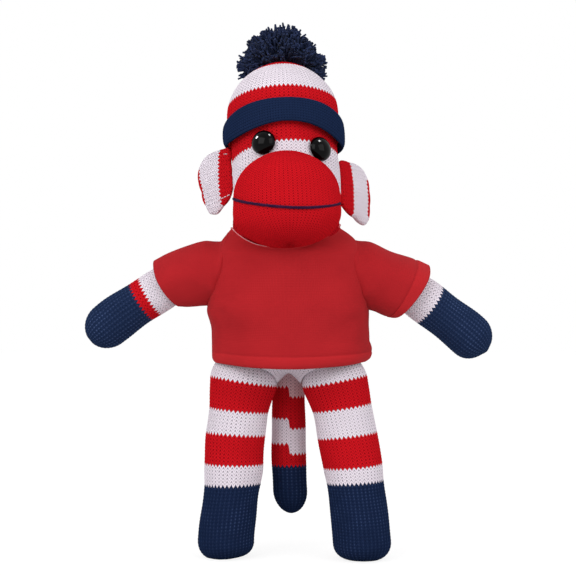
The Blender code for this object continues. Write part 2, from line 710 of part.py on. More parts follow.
def build_pompom(head):
    """The yarn ball that tips on its tie at the top of the crown."""
    tip = pivot("pompom_tip", (0.0, 0.0, DOME_RISE), (-POMPOM_TIP_BACK, POMPOM_TIP_SIDE, 0.0), head)
    tie_rise = CROWN_RADIUS + GAP + POMPOM_TIE_THICKNESS / 2
    tie_wire = POMPOM_TIE_THICKNESS / 2
    profile = arc_profile(POMPOM_TIE_RADIUS, 0.0, tie_wire, tie_wire, math.radians(90),
                          math.radians(-210), CAP_STEPS + 1)
    tie = turned_part("pompom_tie", profile, SMALL_SEGMENTS, YARN_NAVY, tip, closed=True)
    tie.location = (0.0, 0.0, tie_rise)
    underside = CROWN_RADIUS + GAP + POMPOM_TIE_THICKNESS + POMPOM_PLAY
    hinge = pivot("pompom_pivot", (0.0, 0.0, underside), parent=tip)
    centre = CROWN_RADIUS + POMPOM_LIFT - underside
    pompom = add_part("pompom", ball_mesh("pompom", POMPOM_RADIUS, LIMB_SEGMENTS), YARN_NAVY, hinge)
    pompom.location = (0.0, 0.0, centre)
    hollow = ball_cutter("pompom_hollow", (0.0, 0.0, -POMPOM_HOLLOW_RADIUS), POMPOM_HOLLOW_RADIUS,
                         hinge, 4 * LIMB_SEGMENTS)
    cut(pompom, hollow)


def shoulder_point(side):
    return (side * SHOULDER_HALF_SPAN, 0.0, SHOULDER_HEIGHT)


def hip_point(side):
    return (side * HIP_HALF_SPAN, 0.0, HIP_HEIGHT)


def build_arm(side, reach, droop, bend, sleeve_length, sleeve_half_width, doll):
    """One arm, its stuffing and the sleeve that moves with it."""
    name = SIDE_NAMES[side]
    shoulder = pivot(name + "_arm_pivot", shoulder_point(side), parent=doll)
    hang = -side * (math.radians(90) - droop)
    limb = pivot(name + "_arm_direction", (0.0, 0.0, 0.0), (0.0, hang, 0.0), shoulder)
    form = StuffedForm(length=ARM_ROOT_RADIUS + reach, rise=ARM_ROOT_RADIUS,
                       half_width=ARM_RADIUS, half_depth=ARM_RADIUS, shares=ARM_SHARES,
                       start_cap=ARM_ROOT_RADIUS, end_cap=ARM_TIP_CAP, bend=side * bend)
    stuffed_pair(name + "_arm", form, LIMB_SEGMENTS, KNIT_NAVY, limb)
    build_sleeve(side, form, sleeve_length, sleeve_half_width, limb, shoulder)


def build_sleeve(side, arm_form, length, half_width, limb, shoulder):
    """A sleeve whose cap turns in the armhole, cut away in the armpit."""
    name = SIDE_NAMES[side] + "_sleeve"
    rings = []
    right_angle = math.radians(90)
    for step in range(CAP_STEPS + 1):
        polar = SLEEVE_MOUTH_ANGLE + (right_angle - SLEEVE_MOUTH_ANGLE) * step / CAP_STEPS
        size = SLEEVE_CAP_RADIUS * math.sin(polar)
        rings.append((Vector((0.0, 0.0, SLEEVE_CAP_RADIUS * math.cos(polar))),
                      Vector((size, 0.0, 0.0)), Vector((0.0, size, 0.0))))
    for step in range(1, BODY_STEPS):
        share = step / (BODY_STEPS - 1)
        centre, lean = arm_form.spine(arm_form.rise + length * share)
        size = SLEEVE_CAP_RADIUS + (half_width - SLEEVE_CAP_RADIUS) * share
        across = Vector((math.cos(lean), 0.0, -math.sin(lean))) * size
        rings.append((centre, across, Vector((0.0, size, 0.0))))
    sleeve = add_part(name, ring_mesh(name, rings, LIMB_SEGMENTS, open_ends=True), JERSEY, limb)
    solidify(sleeve, SLEEVE_WALL)
    reach = SLEEVE_CAP_RADIUS + length
    flank = SHIRT_HALF_WIDTH - SHOULDER_HALF_SPAN
    near, far = sorted((side * flank, -side * reach))
    armpit = add_cutter(name + "_armpit", box_mesh(name + "_armpit", (near, -reach, -reach),
                                                   (far, reach, 0.0)),
                        shoulder, rotation=(0.0, -side * ARM_LOWERING, 0.0))
    cut(armpit, ball_cutter(name + "_cap_room", (0.0, 0.0, 0.0), SLEEVE_CAP_RADIUS + ARMPIT_ROOM,
                            shoulder, 2 * LIMB_SEGMENTS))
    cut(sleeve, armpit)


def build_leg(side, lean, bend, step, doll):
    """One leg with its foot, cut flat where it stands."""
    name = SIDE_NAMES[side] + "_leg"
    hip = pivot(name + "_pivot", hip_point(side), parent=doll)
    limb = pivot(name + "_direction", (0.0, 0.0, 0.0), (0.0, -side * lean, 0.0), hip)
    drop_share = (math.sin(lean) - math.sin(lean - bend)) / bend
    reach = (HIP_HEIGHT + SOLE_CUT) / drop_share
    form = StuffedForm(length=LEG_ROOT_RADIUS + reach, rise=LEG_ROOT_RADIUS,
                       half_width=LEG_ROOT_RADIUS, half_depth=LEG_ROOT_RADIUS, shares=LEG_SHARES,
                       start_cap=LEG_ROOT_RADIUS, end_cap=LEG_TOE_CAP, bend=side * bend, step=step,
                       end_fullness=LEG_TOE_FULLNESS)
    skin, stuffing, cavity = stuffed_pair(name, form, LIMB_SEGMENTS, KNIT_WHITE, limb)
    width = 2 * LEG_ROOT_RADIUS + HIP_HEIGHT

    def floor_cutter(label, height):
        slab = box_mesh(label, (-width, -width, -width), (width, width, height - HIP_HEIGHT))
        return add_cutter(label, slab, hip)

    cut(skin, floor_cutter(name + "_floor", 0.0))
    cut(cavity, floor_cutter(name + "_floor_wall", KNIT_WALL))
    cut(stuffing, floor_cutter(name + "_floor_fill", KNIT_WALL + STUFFING_GAP))


def build_tail(doll):
    """The tail, which hangs behind the legs."""
    base = pivot("tail_pivot", TAIL_POINT, parent=doll)
    form = StuffedForm(length=TAIL_ROOT_RADIUS + TAIL_REACH, rise=TAIL_ROOT_RADIUS,
                       half_width=TAIL_ROOT_RADIUS, half_depth=TAIL_ROOT_RADIUS,
                       shares=TAIL_SHARES, start_cap=TAIL_ROOT_RADIUS, end_cap=TAIL_TIP_CAP)
    stuffed_pair("tail", form, TAIL_SEGMENTS, KNIT_NAVY, base)


def shirt_ring(share, height):
    width = SHIRT_HALF_WIDTH * smooth_value(SHIRT_SHARES, share, 1)
    depth = SHIRT_HALF_DEPTH * smooth_value(SHIRT_SHARES, share, 2)
    return Vector((0.0, 0.0, height)), Vector((width, 0.0, 0.0)), Vector((0.0, depth, 0.0))


def build_shirt(doll):
    """The T-shirt's body with its hem and folds, and its neckband."""
    shares = [row[0] for row in SHIRT_SHARES]
    rings = [shirt_ring(share, SHIRT_TOP - SHIRT_LENGTH * share) for share in shares]

    def folds(ring, turn):
        share = shares[ring - 1]
        depth = SHIRT_FOLD_DEPTH / SHIRT_HALF_WIDTH
        return depth * share * share * math.cos(SHIRT_FOLD_COUNT * turn)

    body = add_part("shirt_body", ring_mesh("shirt_body", rings, SHIRT_SEGMENTS, open_ends=True,
                                            ripple=folds), JERSEY, doll)
    solidify(body, JERSEY_WALL)
    collar = build_collar(doll)
    for side in (RIGHT, LEFT):
        armhole = ball_cutter(SIDE_NAMES[side] + "_armhole", shoulder_point(side),
                              ARM_SOCKET_RADIUS, doll)
        cut(body, armhole)
        cut(collar, armhole)
    join_close_points(body)
    join_close_points(collar)


def build_collar(doll):
    """The neckband, low in front under the chin and high at the sides."""
    low_share = SHIRT_SHARES[0]
    steps = 3
    rings = []
    for step in range(steps):
        share = step / (steps - 1)
        width = COLLAR_HALF_WIDTH * share + SHIRT_HALF_WIDTH * low_share[1] * (1 - share)
        depth = COLLAR_HALF_DEPTH * share + SHIRT_HALF_DEPTH * low_share[2] * (1 - share)
        rings.append((Vector((0.0, 0.0, share)), Vector((width, 0.0, 0.0)),
                      Vector((0.0, depth, 0.0))))
    rings.reverse()
    mesh = ring_mesh("shirt_collar", rings, SHIRT_SEGMENTS, open_ends=True)
    for vert in mesh.vertices:
        side_share = (vert.co.x / COLLAR_HALF_WIDTH) ** 2
        back_share = (max(vert.co.y, 0.0) / COLLAR_HALF_DEPTH) ** 2
        rise = (COLLAR_FRONT_RISE + COLLAR_SIDE_RISE * side_share + COLLAR_BACK_RISE * back_share)
        vert.co.z = SHIRT_TOP + GAP + (rise - GAP) * vert.co.z
    return solidify(add_part("shirt_collar", mesh, JERSEY, doll), JERSEY_WALL)


def stand_on_origin(doll):
    """Move the doll so that the middle of its footprint is the origin."""
    bpy.context.view_layer.update()
    depsgraph = bpy.context.evaluated_depsgraph_get()
    corners = []
    for part in PARTS.objects:
        if part.type in {"MESH", "CURVE"}:
            shown = part.evaluated_get(depsgraph)
            solid = shown.to_mesh()
            corners.extend(shown.matrix_world @ vert.co for vert in solid.vertices)
            shown.to_mesh_clear()
    low = [min(corner[axis] for corner in corners) for axis in range(3)]
    high = [max(corner[axis] for corner in corners) for axis in range(3)]
    doll.location = (-(low[0] + high[0]) / 2, -(low[1] + high[1]) / 2, -low[2])
    bpy.context.view_layer.update()


clear_scene()
PARTS = new_collection("sock_monkey_doll")
CUTTERS = new_collection("cutters")
KNIT_RED = new_material("knit_red", RED, 0.85)
KNIT_WHITE = new_material("knit_white", WHITE, 0.85)
KNIT_NAVY = new_material("knit_navy", NAVY, 0.85)
YARN_NAVY = new_material("yarn_navy", NAVY, 0.9)
JERSEY = new_material("jersey_red", SHIRT_RED, 0.8)
FILL = new_material("polyester_fill", FILL_WHITE, 0.9)
EYE_PLASTIC = new_material("eye_plastic", EYE_BLACK, 0.08)
WASHER_PLASTIC = new_material("washer_plastic", WASHER_GREY, 0.4)

DOLL = pivot("doll", (0.0, 0.0, 0.0))
build_torso(DOLL)
build_neck(DOLL)
HEAD = pivot("head_pivot", NECK_POINT, (-HEAD_LEAN, -HEAD_ROLL, 0.0), DOLL)
build_head(HEAD)
build_muzzle(HEAD)
build_ear(RIGHT, RIGHT_EAR_HALF_HEIGHT, RIGHT_EAR_DROP, RIGHT_EAR_SWEEP, HEAD)
build_ear(LEFT, LEFT_EAR_HALF_HEIGHT, LEFT_EAR_DROP, LEFT_EAR_SWEEP, HEAD)
build_hat(HEAD)
build_arm(RIGHT, RIGHT_ARM_REACH, RIGHT_ARM_DROOP, RIGHT_ARM_BEND, RIGHT_SLEEVE_LENGTH,
          RIGHT_SLEEVE_HALF_WIDTH, DOLL)
build_arm(LEFT, LEFT_ARM_REACH, LEFT_ARM_DROOP, LEFT_ARM_BEND, LEFT_SLEEVE_LENGTH,
          LEFT_SLEEVE_HALF_WIDTH, DOLL)
build_leg(RIGHT, RIGHT_LEG_LEAN, RIGHT_LEG_BEND, RIGHT_LEG_STEP, DOLL)
build_leg(LEFT, LEFT_LEG_LEAN, LEFT_LEG_BEND, LEFT_LEG_STEP, DOLL)
build_tail(DOLL)
build_shirt(DOLL)
stand_on_origin(DOLL)
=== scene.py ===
"""Looks of a knitted sock monkey doll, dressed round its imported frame.

Every stuffed piece is a knitted skin whose mesh carries its stitches, the T-shirt is thin
jersey, the pompom is cut yarn and the eyes are moulded plastic.
"""
import json
import logging
import math
from dataclasses import dataclass, field
from enum import Enum
from typing import Callable, Sequence

import bpy
import numpy as np
from mathutils import Euler, Matrix, Vector


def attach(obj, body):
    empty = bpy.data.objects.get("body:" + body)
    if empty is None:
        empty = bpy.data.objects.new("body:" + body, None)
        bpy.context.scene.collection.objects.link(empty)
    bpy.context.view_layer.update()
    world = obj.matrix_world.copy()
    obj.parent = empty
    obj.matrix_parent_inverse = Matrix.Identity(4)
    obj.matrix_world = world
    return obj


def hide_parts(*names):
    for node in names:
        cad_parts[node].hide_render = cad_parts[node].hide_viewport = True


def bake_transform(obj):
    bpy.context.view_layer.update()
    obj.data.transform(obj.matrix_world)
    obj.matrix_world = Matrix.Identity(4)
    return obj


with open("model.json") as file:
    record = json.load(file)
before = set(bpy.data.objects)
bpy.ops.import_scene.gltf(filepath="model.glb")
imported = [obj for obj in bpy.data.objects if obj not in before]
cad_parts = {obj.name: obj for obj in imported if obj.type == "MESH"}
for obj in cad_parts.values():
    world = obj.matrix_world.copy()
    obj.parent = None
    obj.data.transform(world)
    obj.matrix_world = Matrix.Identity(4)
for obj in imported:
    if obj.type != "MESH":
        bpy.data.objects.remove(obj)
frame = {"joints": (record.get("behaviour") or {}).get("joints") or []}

LOG = logging.getLogger("sock_monkey_doll")
MM = 0.001
# clear space between a piece and what it lies on
GAP = 0.3 * MM
KNIT_UV = "knit"
CLOTH_UV = "cloth"
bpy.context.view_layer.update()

Bands = Sequence[tuple[float, "Yarn"]]


class Side(Enum):
    """The doll's own sides, as signs of x: its right one is on the left of the picture."""

    RIGHT = -1
    LEFT = 1

    @property
    def word(self) -> str:
        """The side's name as the frame's bodies and nodes spell it."""
        return self.name.lower()


class Yarn(Enum):
    """Dyed cotton yarns: the colours of a stitch, of the gap in it, and of its fibres' halo. A gap
    colour darker than its stitch is painted shade in the gap; a lighter one is the white stuffing
    showing through.
    """

    WHITE = ("#e3d9e3", "#4f4458", "#ffffff")
    # white yarn painted in shade, with a pink cast of light bounced off the red knit, for the
    # tail's root
    ROSE = ("#dcb4ba", "#7a4a52", "#ffffff")
    RED = ("#c3161f", "#480207", "#5a1016")
    NAVY = ("#1d2a47", "#52648f", "#6f9ad6")
    # a darker navy: on the tail's tip it is painted shade between the legs, and the feet use it
    # too
    DARK_NAVY = ("#182440", "#3f5078", "#41608f")
    CUFF_NAVY = ("#1b2845", "#0a1128", "#41608f")
    # the red darkened with painted shade, for the neck, the head's lowest band and the body's top,
    # which sit in shade inside the collar
    DEEP_RED = ("#a8111b", "#4c0207", "#5a1016")


def linear(colour: str) -> tuple[float, float, float, float]:
    """Turn an sRGB hex colour into the linear one that a shader takes.

    Args:
        colour: The colour as #rrggbb.

    Returns:
        Linear red, green, blue and a full alpha.
    """
    parts = [int(colour[start:start + 2], 16) / 255 for start in (1, 3, 5)]
    return (*[part / 12.92 if part <= 0.04045 else ((part + 0.055) / 1.055) ** 2.4
              for part in parts], 1.0)


def joint_place(name: str) -> Vector:
    """The point that a joint of the frame turns about, in metres."""
    return Vector(next(joint["pos_m"] for joint in frame["joints"] if joint["name"] == name))


# ---------------------------------------------------------------- modelling helpers

def select_only(piece: bpy.types.Object) -> None:
    """Make one piece the only selected and the active one.

    Args:
        piece: The piece to select.
    """
    bpy.ops.object.select_all(action="DESELECT")
    piece.select_set(True)
    bpy.context.view_layer.objects.active = piece


def shade_smooth(piece: bpy.types.Object) -> None:
    """Shade the whole piece smooth."""
    select_only(piece)
    bpy.ops.object.shade_smooth()


def face_outward(piece: bpy.types.Object) -> None:
    """Turn all faces of the piece to look outward.

    Args:
        piece: The piece to change.
    """
    select_only(piece)
    bpy.ops.object.mode_set(mode="EDIT")
    bpy.ops.mesh.select_all(action="SELECT")
    bpy.ops.mesh.normals_make_consistent(inside=False)
    bpy.ops.object.mode_set(mode="OBJECT")


def ball_start(name: str, columns: int, rows: int) -> bpy.types.Object:
    """Roll a grid of faces into the unit ball that a piece is shaped from.

    Args:
        name: Name of the piece.
        columns: Faces round the ball.
        rows: Rings of faces from pole to pole.

    Returns:
        The new object, at the origin.
    """
    bpy.ops.object.select_all(action="DESELECT")
    bpy.ops.mesh.primitive_grid_add(x_subdivisions=columns, y_subdivisions=rows, size=1.0)
    piece = bpy.context.object
    piece.name = piece.data.name = name
    flat = read_places(piece) + 0.5
    turn, fall = 2 * math.pi * flat[:, 0], math.pi * (1 - flat[:, 1])
    write_places(piece, np.stack([np.sin(fall) * np.cos(turn), np.sin(fall) * np.sin(turn),
                                  np.cos(fall)], axis=1))
    bpy.ops.object.mode_set(mode="EDIT")
    bpy.ops.mesh.select_all(action="SELECT")
    bpy.ops.mesh.remove_doubles(threshold=1e-6)
    bpy.ops.object.mode_set(mode="OBJECT")
    return piece


def ball_grid(piece: bpy.types.Object, rows: int) -> tuple[np.ndarray, np.ndarray]:
    """Read where each vertex lies on a ball that hasn't been shaped yet.

    Args:
        piece: The ball.
        rows: Rings of faces from pole to pole.

    Returns:
        The ring of each vertex, from 0 at the upper pole, and its turn round the ball.
    """
    unit = read_places(piece)
    ring = np.rint(np.arccos(np.clip(unit[:, 2], -1, 1)) / math.pi * rows).astype(int)
    return ring, np.arctan2(unit[:, 1], unit[:, 0])


def corner_table(piece: bpy.types.Object) -> tuple[np.ndarray, np.ndarray]:
    """Read the face corners.

    Args:
        piece: The piece to read.

    Returns:
        The vertex that each corner uses, and the corner's place on the first UV map.
    """
    mesh = piece.data
    verts = np.zeros(len(mesh.loops), np.int64)
    mesh.loops.foreach_get("vertex_index", verts)
    spots = np.zeros(len(mesh.loops) * 2)
    mesh.uv_layers[0].data.foreach_get("uv", spots)
    return verts, spots.reshape(-1, 2)


def read_places(piece: bpy.types.Object, kind: str = "co") -> np.ndarray:
    """Read one row of x, y and z for each vertex.

    Args:
        piece: The piece to read.
        kind: "co" for the places, "normal" for the normals.

    Returns:
        The rows, in metres.
    """
    rows = np.zeros(len(piece.data.vertices) * 3)
    piece.data.vertices.foreach_get(kind, rows)
    return rows.reshape(-1, 3)


def write_places(piece: bpy.types.Object, places: np.ndarray) -> None:
    """Move the piece's vertices to the given places."""
    piece.data.vertices.foreach_set("co", places.astype(np.float32).ravel())
    piece.data.update()


def moved(places: np.ndarray, matrix: Matrix) -> np.ndarray:
    """The places after a matrix has turned and shifted them."""
    table = np.array(matrix)
    return places @ table[:3, :3].T + table[:3, 3]


def write_uv(piece: bpy.types.Object, name: str, spots: np.ndarray) -> None:
    """Store the places of all face corners in the piece's first UV map.

    Args:
        piece: The piece to change.
        name: The map's new name.
        spots: One row of u and v for each corner.
    """
    layer = piece.data.uv_layers[0]
    layer.name = name
    layer.data.foreach_set("uv", spots.astype(np.float32).ravel())


def apply_modifier(piece: bpy.types.Object, kind: str, **settings: object) -> None:
    """Add a modifier and apply it.

    Args:
        piece: The piece to change.
        kind: The modifier's type.
        **settings: The modifier's attributes.
    """
    select_only(piece)
    modifier = piece.modifiers.new(kind.lower(), kind)
    for key, value in settings.items():
        setattr(modifier, key, value)
    bpy.ops.object.modifier_apply(modifier=modifier.name)


def delete_where(piece: bpy.types.Object, chosen: np.ndarray) -> None:
    """Delete the chosen vertices in edit mode.

    Args:
        piece: The piece to change.
        chosen: True or false for each vertex.
    """
    select_only(piece)
    bpy.ops.object.mode_set(mode="EDIT")
    bpy.ops.mesh.select_all(action="DESELECT")
    bpy.ops.object.mode_set(mode="OBJECT")
    piece.data.vertices.foreach_set("select", chosen.astype(bool))
    bpy.ops.object.mode_set(mode="EDIT")
    bpy.ops.mesh.select_mode(type="VERT")
    bpy.ops.mesh.delete(type="VERT")
    bpy.ops.object.mode_set(mode="OBJECT")


def lumps(places: np.ndarray, size: float, seed: int) -> np.ndarray:
    """Gentle uneven swelling of stuffing under a skin.

    Args:
        places: Points in metres.
        size: Distance between two lumps, in metres.
        seed: Number that picks the pattern.

    Returns:
        One value from about -1 to 1 for each point.
    """
    draw = np.random.default_rng(seed)
    total = np.zeros(len(places))
    for _wave in range(6):
        way = draw.normal(size=3)
        way /= np.linalg.norm(way)
        pitch = size * draw.uniform(0.8, 1.7)
        total += np.sin(2 * math.pi * (places @ way) / pitch + draw.uniform(0, 2 * math.pi))
    return total / 3.2


def smooth_value(rows: Sequence[Sequence[float]], share: float, column: int) -> float:
    """Read one column of a table on a smooth curve through its rows.

    Args:
        rows: Rows that start with their share, in rising order.
        share: Where to read, from 0 to 1.
        column: Which column to read.

    Returns:
        The value there.
    """
    if share <= rows[0][0]:
        return rows[0][column]
    if share >= rows[-1][0]:
        return rows[-1][column]
    index = max(row for row in range(len(rows) - 1) if rows[row][0] <= share)
    left, right = rows[index], rows[index + 1]
    before, after = rows[max(index - 1, 0)], rows[min(index + 2, len(rows) - 1)]
    span = right[0] - left[0]
    ratio = (share - left[0]) / span
    leaving = span * (right[column] - before[column]) / (right[0] - before[0])
    arriving = span * (after[column] - left[column]) / (after[0] - left[0])
    rest = 1.0 - ratio
    return (left[column] * rest * rest * (1 + 2 * ratio)
            + right[column] * ratio * ratio * (3 - 2 * ratio)
            + leaving * ratio * rest * rest - arriving * ratio * ratio * rest)


# ---------------------------------------------------------------- finishes

def add_node(tree: bpy.types.NodeTree, kind: str, settings: dict | None = None,
             inputs: dict | None = None) -> bpy.types.Node:
    """Add a shader node with its settings, values and links.

    Args:
        tree: The node tree to add to.
        kind: The node's type.
        settings: Attributes of the node.
        inputs: A value or an output socket for each named or numbered input.

    Returns:
        The new node.
    """
    node = tree.nodes.new(kind)
    for key, value in (settings or {}).items():
        setattr(node, key, value)
    for key, value in (inputs or {}).items():
        if isinstance(value, bpy.types.NodeSocket):
            tree.links.new(value, node.inputs[key])
        else:
            node.inputs[key].default_value = value
    return node


def arithmetic(tree: bpy.types.NodeTree, operation: str, *values: object) -> bpy.types.NodeSocket:
    """Add one Math node.

    Args:
        tree: The node tree to add to.
        operation: The node's operation.
        *values: A value or an output socket for each input.

    Returns:
        The node's result.
    """
    return add_node(tree, "ShaderNodeMath", {"operation": operation},
                    dict(enumerate(values))).outputs[0]


def new_finish(name: str, roughness: float, **sockets: object) -> tuple[
        bpy.types.Material, bpy.types.NodeTree, bpy.types.Node]:
    """Start a material with a Principled shader and its constant sockets.

    Args:
        name: Name of the material.
        roughness: Roughness of the shader.
        **sockets: Other constant sockets, with spaces written as underscores.

    Returns:
        The material, its node tree and the shader node.
    """
    material = bpy.data.materials.new(name)
    material.use_nodes = True
    tree = material.node_tree
    shader = tree.nodes["Principled BSDF"]
    shader.inputs["Roughness"].default_value = roughness
    for key, value in sockets.items():
        shader.inputs[key.replace("_", " ")].default_value = value
    return material, tree, shader


def dress(piece: bpy.types.Object, material: bpy.types.Material) -> None:
    """Give the piece one material all over."""
    piece.data.materials.clear()
    piece.data.materials.append(material)


@dataclass(frozen=True)
class Gauge:
    """Size of a knitted stitch and how far it stands out."""

    wale: float = 2.6 * MM
    course: float = 1.85 * MM
    slant: float = 1.0
    relief: float = 0.34 * MM
    columns_per_wale: int = 4
    rows_per_course: int = 3

    def height(self, wale: np.ndarray, course: np.ndarray) -> np.ndarray:
        """Height of the stitches: two leaning legs in each wale.

        Args:
            wale: Place across the wales, one wale to 1.
            course: Place along the wales, one course to 1.

        Returns:
            Heights from 0 in the gaps to 1 on the legs.
        """
        edge = np.abs(2 * (wale % 1) - 1)
        row = (course - self.slant * edge) % 1
        leg = np.sin(np.pi * row) ** 0.6
        across = np.sqrt(np.clip(1 - 0.6 * (2 * edge - 1) ** 2, 0, 1))
        return across * leg

    def push(self, wale: np.ndarray, course: np.ndarray) -> np.ndarray:
        """How far the stitches push the surface out, in metres; the gaps sink in."""
        return self.relief * (self.height(wale, course) - 0.7)


@dataclass(frozen=True)
class KnitFinish:
    """Plain knitted cotton in coloured bands: a matt yarn with a soft halo of fibres, and painted
    shade in the gaps between its stitches.
    """

    name: str
    bands: Bands
    gauge: Gauge
    length: float

    def material(self) -> bpy.types.Material:
        """Build the material, which reads the piece's knit UV map in stitches.

        Returns:
            The material.
        """
        material, tree, shader = new_finish(self.name, 0.9, Sheen_Weight=0.15,
                                            Sheen_Roughness=0.35, Specular_IOR_Level=0.0)
        spot = add_node(tree, "ShaderNodeUVMap", {"uv_map": KNIT_UV})
        split = add_node(tree, "ShaderNodeSeparateXYZ", inputs={0: spot.outputs[0]})
        across = arithmetic(tree, "FRACT", split.outputs["X"])
        edge = arithmetic(tree, "ABSOLUTE",
                          arithmetic(tree, "MULTIPLY_ADD", across, 2.0, -1.0))
        slanted = arithmetic(tree, "MULTIPLY_ADD", edge, -self.gauge.slant, split.outputs["Y"])
        course = arithmetic(tree, "FLOOR", slanted)
        row = arithmetic(tree, "FRACT", slanted)
        leg = arithmetic(tree, "POWER", arithmetic(
            tree, "SINE", arithmetic(tree, "MULTIPLY", row, math.pi)), 0.6)
        centred = arithmetic(tree, "MULTIPLY_ADD", edge, 2.0, -1.0)
        dome = arithmetic(tree, "SQRT", arithmetic(
            tree, "MULTIPLY_ADD", arithmetic(tree, "MULTIPLY", centred, centred), -0.6, 1.0))
        height = arithmetic(tree, "MULTIPLY", leg, dome)
        courses = max(1.0, self.length / self.gauge.course)
        along = arithmetic(tree, "DIVIDE", arithmetic(tree, "ADD", course, 0.5), courses)
        stitch = self.ramp(tree, along, 0)
        gap = self.ramp(tree, along, 1)
        # painted shade that darkens each stitch towards the gaps round it, where it is low
        hollow = add_node(tree, "ShaderNodeMapRange", {"interpolation_type": "SMOOTHSTEP"},
                          {"Value": height, "From Min": 0.15, "From Max": 0.8,
                           "To Min": 0.4, "To Max": 0.0}).outputs[0]
        place = add_node(tree, "ShaderNodeTexCoord").outputs["Object"]
        cloud = add_node(tree, "ShaderNodeTexNoise", inputs={
            "Vector": place, "Scale": 1 / (14 * MM), "Detail": 3.0})
        fibre = add_node(tree, "ShaderNodeTexNoise", inputs={
            "Vector": place, "Scale": 1 / (0.55 * MM), "Detail": 2.0})
        # the holes at the yarn parts where each stitch grows out of the last one, more so where
        # the knit is stretched, show the gap colour: painted shade where it is darker than the
        # stitch, the white stuffing where it is lighter
        middle = add_node(tree, "ShaderNodeMapRange", inputs={
            "Value": edge, "From Min": 0.14, "From Max": 0.42, "To Min": 1.0, "To Max": 0.0})
        end = arithmetic(tree, "ABSOLUTE", arithmetic(tree, "MULTIPLY_ADD", row, 2.0, -1.0))
        base = add_node(tree, "ShaderNodeMapRange", inputs={
            "Value": end, "From Min": 0.5, "From Max": 0.8, "To Min": 0.0, "To Max": 1.0})
        stretch = add_node(tree, "ShaderNodeMapRange", inputs={
            "Value": cloud.outputs[0], "From Min": 0.42, "From Max": 0.6, "To Min": 0.45,
            "To Max": 1.0})
        hole = arithmetic(tree, "MULTIPLY", stretch.outputs[0], arithmetic(
            tree, "MULTIPLY", middle.outputs[0], base.outputs[0]))
        colour = add_node(tree, "ShaderNodeMix", {"data_type": "RGBA"},
                          {"Factor": hole, 6: stitch, 7: gap})
        # random tone from the cloud and the fibres, darkened by the painted shade in the gaps
        mottle_and_gap_shade = arithmetic(tree, "SUBTRACT", arithmetic(
            tree, "ADD", arithmetic(tree, "MULTIPLY_ADD", cloud.outputs[0], 0.22, 0.93),
            arithmetic(tree, "MULTIPLY_ADD", fibre.outputs[0], 0.3, -0.15)), hollow)
        colour_with_gap_shade = add_node(tree, "ShaderNodeVectorMath", {"operation": "SCALE"},
                        {0: colour.outputs[2], "Scale": mottle_and_gap_shade})
        tree.links.new(colour_with_gap_shade.outputs[0], shader.inputs["Base Color"])
        tree.links.new(self.ramp(tree, along, 2), shader.inputs["Sheen Tint"])
        fuzz = arithmetic(tree, "MULTIPLY_ADD", fibre.outputs[0], 0.5, height)
        bump = add_node(tree, "ShaderNodeBump", inputs={
            "Strength": 0.7, "Distance": 0.22 * MM, "Height": fuzz})
        tree.links.new(bump.outputs[0], shader.inputs["Normal"])
        return material

    def ramp(self, tree: bpy.types.NodeTree, along: bpy.types.NodeSocket,
             tone: int) -> bpy.types.NodeSocket:
        """A ramp of the bands along the piece.

        Args:
            tree: The node tree to add to.
            along: Share of the length, whole courses at a time.
            tone: 0 for the stitches' colours, 1 for the gaps' (painted shade where darker,
                stuffing where lighter) and 2 for the halos'.

        Returns:
            The ramp's colour socket.
        """
        node = add_node(tree, "ShaderNodeValToRGB", inputs={0: along})
        steps = node.color_ramp
        steps.interpolation = "CONSTANT"
        for index, (start, yarn) in enumerate(self.bands):
            place = min(1.0, max(0.0, start / self.length))
            stop = steps.elements[0] if index == 0 else steps.elements.new(place)
            stop.position = place
            stop.color = linear(yarn.value[tone])
        if len(steps.elements) > len(self.bands):
            last = steps.elements[len(steps.elements) - 1]
            last.position = 1.0
            last.color = linear(self.bands[-1][1].value[tone])
        return node.outputs[0]


